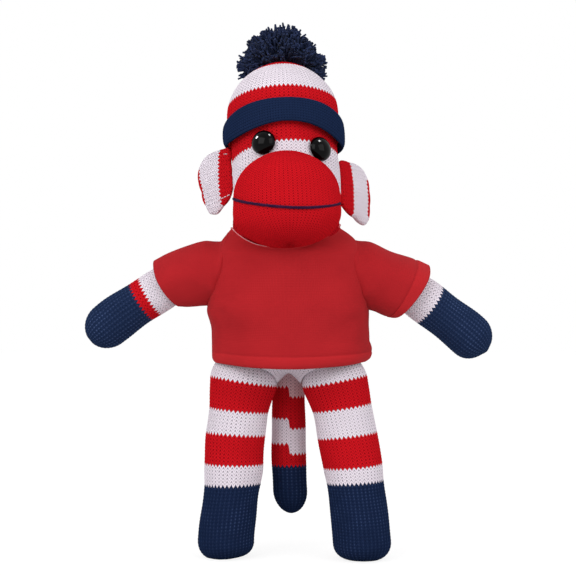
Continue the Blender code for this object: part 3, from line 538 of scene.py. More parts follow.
@dataclass(frozen=True)
class JerseyFinish:
    """Thin machine-knit polyester jersey: matt, with fine ribs and sewn hems."""

    name: str = "jersey"
    colour: str = "#b4262b"
    shade: str = "#8f1a20"
    rib: float = 1.1 * MM
    row: float = 0.9 * MM
    hem: float = 6.5 * MM

    def material(self) -> bpy.types.Material:
        """Build the material, which reads the cloth UV map: metres round, and from the hem.

        Returns:
            The material.
        """
        material, tree, shader = new_finish(self.name, 0.85, Sheen_Weight=0.04,
                                            Sheen_Roughness=0.5, Specular_IOR_Level=0.0)
        spot = add_node(tree, "ShaderNodeUVMap", {"uv_map": CLOTH_UV})
        split = add_node(tree, "ShaderNodeSeparateXYZ", inputs={0: spot.outputs[0]})
        # real jersey ribs are 0.5 mm, too fine for the picture, so they are drawn twice as coarse
        rib = arithmetic(tree, "SINE", arithmetic(
            tree, "MULTIPLY", split.outputs["X"], 2 * math.pi / self.rib))
        row = arithmetic(tree, "SINE", arithmetic(
            tree, "MULTIPLY", split.outputs["Y"], 2 * math.pi / self.row))
        weave = arithmetic(tree, "MULTIPLY_ADD", rib, 0.6, row)
        place = add_node(tree, "ShaderNodeTexCoord").outputs["Object"]
        cloud = add_node(tree, "ShaderNodeTexNoise", inputs={
            "Vector": place, "Scale": 1 / (16 * MM), "Detail": 3.0})
        fibre = add_node(tree, "ShaderNodeTexNoise", inputs={
            "Vector": place, "Scale": 1 / (0.8 * MM), "Detail": 2.0})
        # the hem is two layers thick, so less light passes it, and its stitching draws it in along
        # a line of painted shade
        double = add_node(tree, "ShaderNodeMapRange", inputs={
            "Value": split.outputs["Y"], "From Min": self.hem - 0.4 * MM,
            "From Max": self.hem, "To Min": -0.3, "To Max": 0.0})
        # painted shade along the groove where the hem's stitching draws the cloth in
        seam = add_node(tree, "ShaderNodeMapRange", inputs={
            "Value": arithmetic(tree, "ABSOLUTE", arithmetic(
                tree, "SUBTRACT", split.outputs["Y"], self.hem + 0.3 * MM)),
            "From Min": 0.0, "From Max": 0.9 * MM, "To Min": 0.14, "To Max": 0.0})
        hem_tone_and_seam_shade = arithmetic(tree, "ADD", double.outputs[0], seam.outputs[0])
        factor = arithmetic(tree, "ADD", arithmetic(tree, "MULTIPLY_ADD", weave, -0.04, hem_tone_and_seam_shade),
                            arithmetic(tree, "MULTIPLY_ADD", cloud.outputs[0], 0.45, 0.15))
        colour = add_node(tree, "ShaderNodeMix", {"data_type": "RGBA"}, {
            "Factor": factor, 6: linear(self.colour), 7: linear(self.shade)})
        tree.links.new(colour.outputs[2], shader.inputs["Base Color"])
        height = arithmetic(tree, "MULTIPLY_ADD", fibre.outputs[0], 1.2, weave)
        bump = add_node(tree, "ShaderNodeBump", inputs={
            "Strength": 0.2, "Distance": 0.08 * MM, "Height": height})
        tree.links.new(bump.outputs[0], shader.inputs["Normal"])
        return material


@dataclass(frozen=True)
class YarnFinish:
    """Loose acrylic yarn: soft, dark between its plies, with a faint sheen."""

    name: str
    colour: str
    shade: str
    ply: float = 0.7 * MM

    def material(self) -> bpy.types.Material:
        """Build the material on the piece's own coordinates.

        Returns:
            The material.
        """
        material, tree, shader = new_finish(self.name, 0.85, Sheen_Weight=0.12,
                                            Sheen_Roughness=0.35, Specular_IOR_Level=0.0)
        place = add_node(tree, "ShaderNodeTexCoord").outputs["Object"]
        fibre = add_node(tree, "ShaderNodeTexNoise", inputs={
            "Vector": place, "Scale": 1 / self.ply, "Detail": 3.0})
        clump = add_node(tree, "ShaderNodeTexNoise", inputs={
            "Vector": place, "Scale": 1 / (5 * MM), "Detail": 2.0})
        factor = arithmetic(tree, "MULTIPLY_ADD", fibre.outputs[0], 0.9,
                            arithmetic(tree, "MULTIPLY_ADD", clump.outputs[0], 1.2, -0.6))
        colour = add_node(tree, "ShaderNodeMix", {"data_type": "RGBA"}, {
            "Factor": factor, 6: linear(self.shade), 7: linear(self.colour)})
        tree.links.new(colour.outputs[2], shader.inputs["Base Color"])
        bump = add_node(tree, "ShaderNodeBump", inputs={
            "Strength": 0.6, "Distance": 0.2 * MM, "Height": fibre.outputs[0]})
        tree.links.new(bump.outputs[0], shader.inputs["Normal"])
        return material


@dataclass(frozen=True)
class PlasticFinish:
    """Moulded plastic, polished where its roughness is low, with faint moulding waves."""

    name: str
    colour: str
    roughness: float
    specular: float = 0.5

    def material(self) -> bpy.types.Material:
        """Build the material on the piece's own coordinates.

        Returns:
            The material.
        """
        material, tree, shader = new_finish(self.name, self.roughness, IOR=1.49,
                                            Specular_IOR_Level=self.specular)
        place = add_node(tree, "ShaderNodeTexCoord").outputs["Object"]
        wave = add_node(tree, "ShaderNodeTexNoise", inputs={
            "Vector": place, "Scale": 1 / (4 * MM), "Detail": 1.0})
        colour = add_node(tree, "ShaderNodeVectorMath", {"operation": "SCALE"}, {
            0: linear(self.colour)[:3],
            "Scale": arithmetic(tree, "MULTIPLY_ADD", wave.outputs[0], 0.3, 0.85)})
        tree.links.new(colour.outputs[0], shader.inputs["Base Color"])
        bump = add_node(tree, "ShaderNodeBump", inputs={
            "Strength": 0.05, "Distance": 0.1 * MM, "Height": wave.outputs[0]})
        tree.links.new(bump.outputs[0], shader.inputs["Normal"])
        return material


# ---------------------------------------------------------------- knitted skins

@dataclass(frozen=True)
class Rings:
    """Rings of a skin from its first pole to its last, evenly spaced along its surface."""

    centres: np.ndarray
    across: np.ndarray
    deep: np.ndarray
    reaches: np.ndarray
    runs: np.ndarray

    @property
    def length(self) -> float:
        """Length of the skin along its surface, in metres."""
        return float(self.runs[-1])

    def run_at(self, reach: float) -> float:
        """Distance along the surface at which the spine has come a given reach."""
        return float(np.interp(reach, self.reaches, self.runs))


@dataclass(frozen=True)
class StuffedForm:
    """A stuffed knitted tube with a round cap at each end, hanging down its own -Z.

    The spine runs straight for the rise above the origin, then bends evenly to the tip.
    Each row of shares is: share of the length, then of the half width, depth and step.
    """

    length: float
    rise: float
    half_width: float
    half_depth: float
    shares: Sequence[Sequence[float]]
    start_cap: float
    end_cap: float
    start_fullness: float = 1.0
    end_fullness: float = 1.0
    bend: float = 0.0
    step: float = 0.0

    def spine(self, distance: float) -> tuple[Vector, float]:
        """Find a place on the spine.

        Args:
            distance: How far along the spine, from the top, in metres.

        Returns:
            The place, and the spine's lean there.
        """
        run = distance - self.rise
        if run <= 0.0 or self.bend == 0.0:
            return Vector((0.0, 0.0, -run)), 0.0
        radius = (self.length - self.rise) / self.bend
        lean = run / radius
        return Vector((-radius * (1 - math.cos(lean)), 0.0, -radius * math.sin(lean))), lean

    def section(self, distance: float, factor: float,
                inset: float) -> tuple[Vector, Vector, Vector]:
        """Measure one section of the form.

        Args:
            distance: How far along the spine, from the top, in metres.
            factor: Share of the full size, for the rounding of the caps.
            inset: How far the skin lies inside this form, in metres.

        Returns:
            The section's centre, and its half width and half depth as vectors.
        """
        share = distance / self.length
        width = self.half_width * smooth_value(self.shares, share, 1) - inset
        depth = self.half_depth * smooth_value(self.shares, share, 2) - inset
        centre, lean = self.spine(distance)
        centre = centre - Vector((0.0, self.step * smooth_value(self.shares, share, 3), 0.0))
        across = Vector((math.cos(lean), 0.0, -math.sin(lean))) * width * factor
        return centre, across, Vector((0.0, depth * factor, 0.0))

    def rings(self, spacing: float, inset: float = 0.0) -> Rings:
        """Rings at a steady spacing along the surface.

        Args:
            spacing: Distance between two rings, in metres.
            inset: How far the skin lies inside this form, in metres.

        Returns:
            The rings, with the reach of each from the joint along the spine.
        """
        quarter = np.linspace(0.0, math.pi / 2, 120)
        steps = [(self.start_cap - (self.start_cap - inset) * math.cos(turn),
                  math.sin(turn) ** self.start_fullness) for turn in quarter]
        steps += [(distance, 1.0) for distance in
                  np.linspace(self.start_cap, self.length - self.end_cap, 160)[1:-1]]
        steps += [(self.length - self.end_cap + (self.end_cap - inset) * math.cos(turn),
                   math.sin(turn) ** self.end_fullness) for turn in quarter[::-1]]
        sections = [self.section(distance, factor, inset) for distance, factor in steps]
        table = np.array([[*centre, *across, *deep] for centre, across, deep in sections])
        edge = table[:, 0:3] + table[:, 3:6]
        runs = np.concatenate([[0.0], np.cumsum(np.linalg.norm(np.diff(edge, axis=0), axis=1))])
        count = max(8, round(runs[-1] / spacing))
        even = np.linspace(0.0, runs[-1], count + 1)
        table = np.array([np.interp(even, runs, column) for column in table.T]).T
        reaches = np.interp(even, runs, [distance - self.rise for distance, _ in steps])
        return Rings(table[:, 0:3], table[:, 3:6], table[:, 6:9], reaches, even)


@dataclass
class KnitSkin:
    """A knitted skin over a stuffed form, with its stitches in the mesh."""

    name: str
    rings: Rings
    place: Matrix
    bands: Bands
    wales: int
    gauge: Gauge = field(default_factory=Gauge)
    lump: float = 0.5 * MM
    lump_size: float = 24 * MM
    pole_rings: int = 6
    seed: int = 1
    tilt: Callable[[np.ndarray, np.ndarray], np.ndarray] | None = None

    def build(self) -> bpy.types.Object:
        """Shape a ball into the skin and work its stitches into the surface.

        Returns:
            The skin as a finished object.
        """
        rings = self.rings
        rows = len(rings.runs) - 1
        piece = ball_start(self.name, self.wales * self.gauge.columns_per_wale, rows)
        verts, spots = corner_table(piece)
        ring, turn = ball_grid(piece, rows)
        places = (rings.centres[ring] + rings.across[ring] * np.cos(turn)[:, None]
                  + rings.deep[ring] * np.sin(turn)[:, None])
        corner_ring = np.rint((1 - spots[:, 1]) * rows).astype(int)
        run = rings.runs[corner_ring]
        if self.tilt is not None:
            run = run + self.tilt(turn[verts], run)
        spots = np.stack([spots[:, 0] * self.wales, run / self.gauge.course], axis=1)
        write_uv(piece, KNIT_UV, spots)
        spot_of = np.zeros((len(places), 2))
        spot_of[verts] = spots
        places = moved(places, self.place)
        write_places(piece, places)
        normals = read_places(piece, "normal")
        # the stitches fade out where the wales crowd together at the two poles
        fade = np.clip(np.minimum(ring, rows - ring) / self.pole_rings, 0, 1)
        swell = self.lump * lumps(places, self.lump_size, self.seed)
        stitches = self.gauge.push(spot_of[:, 0], spot_of[:, 1])
        write_places(piece, places + normals * ((swell + stitches) * fade)[:, None])
        shade_smooth(piece)
        finish = KnitFinish(self.name + "_yarn", self.bands, self.gauge, rings.length)
        dress(piece, finish.material())
        return piece


def band_runs(rings: Rings, starts: Bands) -> list[tuple[float, Yarn]]:
    """Turn the bands' reaches from the joint into distances along the surface.

    Args:
        rings: The rings of the skin.
        starts: The reach at which each band starts, and its yarn.

    Returns:
        The distance at which each band starts, and its yarn.
    """
    return [(0.0 if index == 0 else rings.run_at(reach), yarn)
            for index, (reach, yarn) in enumerate(starts)]


# ---------------------------------------------------------------- the doll's parts

HEAD_TURNED = Euler((math.radians(-16.0), math.radians(-2.7), 0.0))
NECK_PLACE = joint_place("head_nod")
DOLL_PLACE = NECK_PLACE - Vector((0.0, -4.0 * MM, 182.0 * MM))
HEAD_FRAME = Matrix.Translation(NECK_PLACE) @ HEAD_TURNED.to_matrix().to_4x4()


@dataclass
class Torso:
    """The stuffed body under the shirt, and the gathered neck."""

    half_width: float = 43.0 * MM
    half_depth: float = 29.0 * MM
    height: float = 71.0 * MM
    top: float = 176.5 * MM
    middle: float = 140.0 * MM
    seat_gap: float = 0.6 * MM
    neck_half_width: float = 30.4 * MM
    neck_half_depth: float = 22.0 * MM
    neck_side: float = -1.4 * MM
    neck_drop: float = 7.5 * MM
    neck_rise: float = 19.5 * MM
    shares: tuple = ((0.0, 0.83, 0.73, 0.0), (0.15, 0.92, 0.83, 0.0), (0.35, 0.98, 0.90, 0.0),
                     (0.60, 1.00, 0.97, 0.0), (0.80, 0.99, 0.95, 0.0), (1.0, 0.92, 0.87, 0.0))

    def build(self) -> list[bpy.types.Object]:
        """Build the body's skin and the neck.

        Returns:
            The two pieces.
        """
        gauge = Gauge(rows_per_course=2)
        form = StuffedForm(self.height, self.top, self.half_width, self.half_depth, self.shares,
                           24 * MM, 24 * MM, 0.7, 0.7)
        rings = form.rings(gauge.course / gauge.rows_per_course)
        place = Matrix.Translation(DOLL_PLACE)
        # the red at the body's top is darkened with painted shade, as inside the collar
        bands = [(0.0, Yarn.DEEP_RED), (rings.run_at(-152 * MM), Yarn.WHITE)]
        skin = KnitSkin("torso_knit", rings, place, bands, 84, gauge, 0.3 * MM, seed=3).build()
        self.crotch(skin)
        self.hollow(skin)
        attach(skin, "torso")
        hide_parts("torso_skin", "torso_stuffing")
        return [skin, self.neck()]

    def crotch(self, skin: bpy.types.Object) -> None:
        """Draw the skin down beside the legs, so that it meets them in an upturned V.

        Args:
            skin: The body's skin.
        """
        places = read_places(skin) - np.array(DOLL_PLACE)
        low = np.clip((113 * MM - places[:, 2]) / (5 * MM), 0, 1)
        side = np.minimum(np.abs(places[:, 0]) / (8 * MM), 1.4)
        places[:, 2] -= 8 * MM * low * side ** 1.4 * np.exp(-(places[:, 1] / (15 * MM)) ** 2)
        places[:, 1] *= 1 - 0.5 * low * np.exp(-(places[:, 0] / (15 * MM)) ** 4)
        write_places(skin, places + np.array(DOLL_PLACE))

    def hollow(self, skin: bpy.types.Object) -> None:
        """Press round seats into the skin for the arms, legs, tail and neck.

        Args:
            skin: The body's skin.
        """
        seats = [(joint_place(name), radius) for name, radius in (
            ("right_arm_raise", 17.9 * MM), ("left_arm_raise", 17.9 * MM),
            ("right_leg_swing", 19.5 * MM), ("left_leg_swing", 19.5 * MM),
            ("tail_swing", 10.0 * MM), ("head_nod", 14.5 * MM))]
        places = read_places(skin)
        for centre, radius in seats:
            away = places - np.array(centre)
            reach = radius + self.seat_gap
            near = np.linalg.norm(away, axis=1) < reach
            # a point inside a seat slides to the seat's wall, towards the middle of the body
            inward = np.array(DOLL_PLACE + Vector((0, 0, self.middle))) - places[near]
            inward /= np.linalg.norm(inward, axis=1)[:, None]
            spot = away[near]
            along = (spot * inward).sum(1)
            step = -along + np.sqrt(np.clip(along ** 2 - (spot ** 2).sum(1) + reach ** 2, 0, None))
            places[near] += inward * step[:, None]
        write_places(skin, places)

    def neck(self) -> bpy.types.Object:
        """Build the gathered knit neck, which fills the collar between the body and the head.

        Returns:
            The neck.
        """
        gauge = Gauge()
        low, high = self.neck_drop, self.neck_rise
        form = StuffedForm(low + high, high, self.neck_half_width, self.neck_half_depth,
                           ((0.0, 1.0, 1.0, 0.0), (0.62, 1.0, 1.0, 0.0), (0.8, 0.85, 0.93, 0.0),
                            (1.0, 0.8, 0.88, 0.0)), 6 * MM, 5 * MM, 0.6, 0.6)
        rings = form.rings(gauge.course / gauge.rows_per_course)
        place = Matrix.Translation(NECK_PLACE + Vector((self.neck_side, 0.0, 0.0)))
        # the whole neck is knitted in red darkened with painted shade, as it sits in the collar
        # under the chin
        neck = KnitSkin("neck_knit", rings, place,
                        [(0.0, Yarn.DEEP_RED)], 56, gauge, 0.3 * MM).build()
        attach(neck, "neck")
        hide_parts("neck")
        return neck


@dataclass
class Head:
    """The head's sock, the muzzle with its stitched mouth, and the eyes."""

    radius: float = 30.5 * MM
    length: float = 104.0 * MM
    base_rise: float = 1.5 * MM
    muzzle_half: tuple = (30.0 * MM, 25.0 * MM, 26.0 * MM)
    muzzle_forward: float = 25.8 * MM
    muzzle_rise: float = 17.5 * MM
    chin_squareness: float = 0.64
    chin_drop: float = 2.9 * MM
    mouth_rise: float = 3.1 * MM
    mouth_sag: float = 12.7 * MM
    mouth_skew: float = 2.9 * MM
    mouth_sweep: float = math.radians(76.0)
    mouth_steps: int = 240
    steps_per_twist: int = 9
    yarn_radius: float = 0.75 * MM
    # side, turn round the head from its front, and height up the head
    eyes: tuple = (("right", math.radians(-21.6), 49.3 * MM),
                   ("left", math.radians(39.6), 45.7 * MM))
    eye_radius: float = 7.1 * MM
    eye_dome: float = 5.0 * MM
    eye_rim: float = 0.8 * MM

    def form(self) -> StuffedForm:
        """The sock that makes the head, in the head's own frame."""
        return StuffedForm(self.length, self.base_rise + self.length, self.radius, self.radius,
                           ((0.0, 1.0, 1.0, 0.0), (1.0, 1.0, 1.0, 0.0)), 30 * MM, 22 * MM,
                           end_fullness=0.45)

    def build(self) -> list[bpy.types.Object]:
        """Build the head's pieces.

        Returns:
            Skin, muzzle, mouth and eyes.
        """
        gauge = Gauge()
        rings = self.form().rings(gauge.course / gauge.rows_per_course)
        # the lowest band, next to the neck, is red darkened with painted shade
        starts = [(0.0, Yarn.RED), (-51.3 * MM, Yarn.WHITE), (-27.9 * MM, Yarn.RED),
                  (-8.0 * MM, Yarn.DEEP_RED)]
        skin = KnitSkin("head_knit", rings, HEAD_FRAME, band_runs(rings, starts), 72, gauge,
                        0.35 * MM, seed=5, tilt=self.band_dip).build()
        self.fill_cheek(skin)
        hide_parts("head_skin", "head_stuffing")
        pieces = [skin, self.muzzle(), self.mouth()]
        pieces += [self.eye(*eye) for eye in self.eyes]
        for piece in pieces:
            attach(piece, "head")
        return pieces

    def band_dip(self, turn: np.ndarray, _run: np.ndarray) -> np.ndarray:
        """How far the head's bands sink at its sides, for each turn round it."""
        return 0.8 * MM * np.cos(turn) - 1.3 * MM * np.cos(turn) ** 2

    def fill_cheek(self, skin: bpy.types.Object) -> None:
        """Stuff the left cheek a little fuller than the right one.

        Args:
            skin: The head's skin.
        """
        local = moved(read_places(skin), HEAD_FRAME.inverted())
        side = np.clip(local[:, 0] / self.radius, 0, 1) ** 2
        local[:, 0] += 1.5 * MM * side * np.exp(-((local[:, 2] - 34 * MM) / (17 * MM)) ** 2)
        write_places(skin, moved(local, HEAD_FRAME))

    def muzzle(self) -> bpy.types.Object:
        """Build the stuffed muzzle, whose wales run up and down over its front.

        Returns:
            The muzzle.
        """
        gauge = Gauge(wale=2.3 * MM, course=1.5 * MM, relief=0.24 * MM)
        width, depth, height = self.muzzle_half
        angles = np.linspace(0.0, math.pi, 400)
        lifts = np.where(angles < math.pi / 2, np.cos(angles),
                         -np.abs(np.cos(angles)) ** self.chin_squareness)
        rises = lifts * np.where(lifts > 0, height, height + self.chin_drop)
        runs = np.concatenate([[0.0], np.cumsum(np.hypot(np.diff(rises),
                                                         np.diff(np.sin(angles) * depth)))])
        count = round(runs[-1] / (gauge.course / gauge.rows_per_course))
        even = np.linspace(0, runs[-1], count + 1)
        rise, size = np.interp(even, runs, rises), np.interp(even, runs, np.sin(angles))
        blank = np.zeros(count + 1)
        jowl = 1 + 0.05 * np.exp(-((rise + 15 * MM) / (8 * MM)) ** 2)
        rings = Rings(np.stack([blank, blank, rise], 1),
                      np.stack([size * width * jowl, blank, blank], 1),
                      np.stack([blank, size * depth, blank], 1), -rise, even)
        place = HEAD_FRAME @ Matrix.Translation((0.0, -self.muzzle_forward, self.muzzle_rise))
        piece = KnitSkin("muzzle_knit", rings, place,
                         [(0.0, Yarn.RED)], 76, gauge, 0.3 * MM, seed=8).build()
        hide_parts("muzzle_skin", "muzzle_stuffing")
        return piece

    def mouth(self) -> bpy.types.Object:
        """Lay the mouth's yarn on the muzzle, as two plies that wind round each other.

        Returns:
            The yarn.
        """
        curve = new_curve("mouth_stitch", self.yarn_radius * 0.7)
        turns = np.linspace(-self.mouth_sweep, self.mouth_sweep, self.mouth_steps)
        for ply in (0, 1):
            lay_line(curve, [self.mouth_spot(turn, 2 * math.pi * index / self.steps_per_twist
                                             + ply * math.pi)
                             for index, turn in enumerate(turns)])
        piece = as_mesh("mouth_stitch", curve)
        dress(piece, YarnFinish("mouth_yarn_finish", "#4a1c3c", "#1d1430", 0.6 * MM).material())
        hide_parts("mouth_yarn")
        return piece

    def mouth_spot(self, turn: float, twist: float) -> Vector:
        """Find one place along a ply of the mouth's yarn.

        Args:
            turn: Turn round the muzzle from its front.
            twist: Turn of the ply round the yarn's middle.

        Returns:
            The place in the frame.
        """
        width, depth, height = self.muzzle_half
        height += self.chin_drop
        offset = self.yarn_radius * 0.9
        rise = (self.mouth_rise - self.muzzle_rise + self.mouth_sag * (1 - math.cos(turn))
                - self.mouth_skew * math.sin(turn))
        level = math.sqrt(1 - (-rise / (height + offset)) ** (2 / self.chin_squareness))
        normal = Vector((level * math.sin(turn), -level * math.cos(turn), rise / height))
        normal.normalize()
        spot = Vector(((width + offset) * level * math.sin(turn),
                       -self.muzzle_forward - (depth + offset) * level * math.cos(turn),
                       self.muzzle_rise + rise))
        up = Vector((0, 0, 1)) - normal * normal.z
        ply = up.normalized() * math.cos(twist) + normal * math.sin(twist)
        return HEAD_FRAME @ (spot + ply * self.yarn_radius * 0.5)

    def eye(self, word: str, turn: float, rise: float) -> bpy.types.Object:
        """Build one domed safety eye with its rounded rim.

        Args:
            word: Side of the eye.
            turn: Turn round the head from the front.
            rise: Height up the head.

        Returns:
            The eye.
        """
        name = word + "_eye_dome"
        piece = ball_start(name, 64, 48)
        unit = read_places(piece)
        places = np.stack([unit[:, 0] * self.eye_radius, unit[:, 1] * self.eye_radius,
                           np.where(unit[:, 2] > 0, unit[:, 2] * self.eye_dome,
                                    -np.abs(unit[:, 2]) ** 0.5 * self.eye_rim)], axis=1)
        place = (HEAD_FRAME @ Matrix.Translation((0, 0, rise)) @ Matrix.Rotation(turn, 4, "Z")
                 @ Matrix.Rotation(math.radians(90), 4, "X")
                 @ Matrix.Translation((0, 0, self.radius + GAP + self.eye_rim)))
        write_places(piece, moved(places, place))
        shade_smooth(piece)
        dress(piece, PlasticFinish(name + "_plastic", "#020203", 0.1, specular=0.09).material())
        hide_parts(word + "_eye")
        return piece


def new_curve(name: str, radius: float, resolution: int = 2,
              capped: bool = True) -> bpy.types.Curve:
    """Start a round yarn or thread.

    Args:
        name: Name of the curve.
        radius: Radius of the yarn, in metres.
        resolution: How finely its section is rounded.
        capped: Whether its ends are closed.

    Returns:
        The empty curve.
    """
    curve = bpy.data.curves.new(name, "CURVE")
    curve.dimensions = "3D"
    curve.bevel_depth = radius
    curve.bevel_resolution = resolution
    curve.use_fill_caps = capped
    return curve


def lay_line(curve: bpy.types.Curve, spots: Sequence[Vector]) -> bpy.types.Spline:
    """Lay one length of yarn through the given places.

    Args:
        curve: The curve to add to.
        spots: The places in the frame, in metres.

    Returns:
        The new line.
    """
    line = curve.splines.new("POLY")
    line.points.add(len(spots) - 1)
    for point, spot in zip(line.points, spots):
        point.co = (*spot, 1.0)
    return line


def as_mesh(name: str, curve: bpy.types.Curve) -> bpy.types.Object:
    """Turn a curve that is laid in the frame into a smooth mesh piece.

    Args:
        name: Name of the piece.
        curve: The curve.

    Returns:
        The piece.
    """
    piece = bpy.data.objects.new(name, curve)
    bpy.context.scene.collection.objects.link(piece)
    select_only(piece)
    bpy.ops.object.convert(target="MESH")
    bpy.ops.object.shade_smooth()
    return bpy.context.object


@dataclass
class Ear:
    """One D-shaped ear pad, white with a red band at its seam and a red rim.

    The outline's rows are the way out from the seam and the height, in mm, turning from the
    rim over the top and the seam to the bottom.
    """

    side: Side
    rise: float
    sweep: float
    outline: Sequence[tuple[float, float]]
    bands: Bands
    half_thickness: float = 3.0 * MM
    width: float = 26.0 * MM
    turn: float = math.radians(4.0)
    heart: float = 8.0
    curl: float = 1.1 * MM
    rim_start: float = 16.0
    thread_radius: float = 0.28 * MM

    def frame(self) -> Matrix:
        """Place the pad beside the head.

        Returns:
            The pad's frame, with x out from its seam.
        """
        sign = self.side.value
        facing = 0.0 if self.side is Side.LEFT else math.pi
        outward = Vector((sign * math.cos(self.turn), math.sin(self.turn), 0.0))
        seam = Head.radius + GAP + self.half_thickness
        return (HEAD_FRAME @ Matrix.Translation(outward * seam + Vector((0, 0, self.rise)))
                @ Matrix.Rotation(facing + sign * self.sweep, 4, "Z"))

    def edge(self, turn: np.ndarray) -> np.ndarray:
        """Measure from the pad's heart to its outline.

        Args:
            turn: Turns round the heart.

        Returns:
            A distance in metres for each turn.
        """
        rays = np.array(self.outline) - np.array([self.heart, 0.0])
        turns = np.arctan2(rays[:, 1], rays[:, 0])
        order = np.argsort(turns)
        turns, far = turns[order], np.linalg.norm(rays, axis=1)[order]
        fine = np.linspace(-math.pi, math.pi, 721)
        smooth = np.interp(fine, np.concatenate([turns - 2 * math.pi, turns, turns + 2 * math.pi]),
                           np.tile(far, 3))
        kernel = np.hanning(27)
        smooth = np.convolve(np.concatenate([smooth[-14:-1], smooth, smooth[1:14]]),
                             kernel / kernel.sum(), "valid")
        return np.interp(turn, fine, smooth) * MM

    def build(self) -> bpy.types.Object:
        """Build the ear in its place beside the head.

        Returns:
            The ear.
        """
        word = self.side.word
        gauge = Gauge(wale=2.4 * MM, course=1.6 * MM, relief=0.2 * MM)
        name = word + "_ear_knit"
        piece = ball_start(name, 220, 110)
        verts = corner_table(piece)[0]
        unit = read_places(piece)
        thick = -unit[:, 2]
        spread = np.hypot(unit[:, 0], unit[:, 1])
        far = self.edge(np.arctan2(unit[:, 1], unit[:, 0])) * spread
        scale = far / np.maximum(spread, 1e-9)
        local = np.stack([self.heart * MM + unit[:, 0] * scale,
                          np.sign(thick) * np.abs(thick) ** 0.8 * self.half_thickness,
                          unit[:, 1] * scale], axis=1)
        # the rim's red band keeps beside the outline, the seam's runs straight down
        heights, outs = zip(*sorted((rise * MM, out * MM) for out, rise in self.outline
                                    if out > self.rim_start))
        drawn_in = self.width - self.half_thickness - np.interp(local[:, 2], heights, outs)
        follow = np.clip((local[:, 0] - 10 * MM) / (9 * MM), 0, 1)
        drawn_in -= 6 * MM * np.clip((np.abs(local[:, 2]) - 10 * MM) / (7 * MM), 0, 1)
        course = local[:, 0] + self.half_thickness + drawn_in * follow
        flat_spots = np.stack([local[:, 2] / gauge.wale + 40, course / gauge.course], axis=1)
        write_uv(piece, KNIT_UV, flat_spots[verts])
        local[:, 1] += self.curl * np.sin(np.clip(local[:, 0] / (23 * MM), 0, 1) * 2.6)
        write_places(piece, moved(local, self.frame()))
        places = read_places(piece)
        flank = np.clip(np.abs(thick) * 3, 0, 1)
        push = (gauge.push(flat_spots[:, 0], flat_spots[:, 1]) * flank
                + 0.3 * MM * lumps(places, 16 * MM, 11))
        write_places(piece, places + read_places(piece, "normal") * push[:, None])
        shade_smooth(piece)
        length = self.width + self.half_thickness
        dress(piece, KnitFinish(name, self.bands, gauge, length).material())
        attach(piece, word + "_ear")
        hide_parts(word + "_ear")
        return piece

    def stitch_spot(self, start: np.ndarray, end: np.ndarray, share: float) -> Vector:
        """Find one place along a stitch that lies on the pad's forward face.

        Args:
            start: The way out and the height where the stitch starts, in mm.
            end: The same where it ends.
            share: How far along the stitch the place lies, from 0 to 1.

        Returns:
            The place in the frame.
        """
        out, rise = start + (end - start) * share
        away = np.array([out - self.heart, rise])
        reach = self.edge(np.arctan2(away[1:], away[:1]))[0] / MM
        hang = max(0.05, 1 - (np.linalg.norm(away) / reach) ** 2) ** 0.4
        bow = (0.4 * math.sin(math.pi * share) - 0.1) * MM
        # the face of the pad that looks forward is -y on the left ear and +y on the right one
        spot = Vector((out * MM, -self.side.value * (self.half_thickness * hang + bow), rise * MM))
        spot.y += self.curl * math.sin(max(out, 0.0) / 23 * 2.6)
        return self.frame() @ spot

    def stitches(self) -> bpy.types.Object:
        """Sew the white stitches that show at the ear's two inner corners.

        Returns:
            The stitches.
        """
        name = self.side.word + "_ear_stitches"
        curve = new_curve(name, self.thread_radius)
        # the way out and the height where each stitch starts and ends, in mm
        lower = [((5.9 - 2.1 * row, -12.4 + 0.55 * row), (4.5 - 2.1 * row, -12.1 + 0.55 * row))
                 for row in range(4)]
        for start, end in [*lower, ((0.4, 15.1), (-1.9, 14.5))]:
            lay_line(curve, [self.stitch_spot(np.array(start), np.array(end), index / 4)
                             for index in range(5)])
        piece = as_mesh(name, curve)
        dress(piece, YarnFinish(name + "_finish", "#f0e2e8", "#c9a9b2", 0.5 * MM).material())
        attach(piece, self.side.word + "_ear")
        return piece


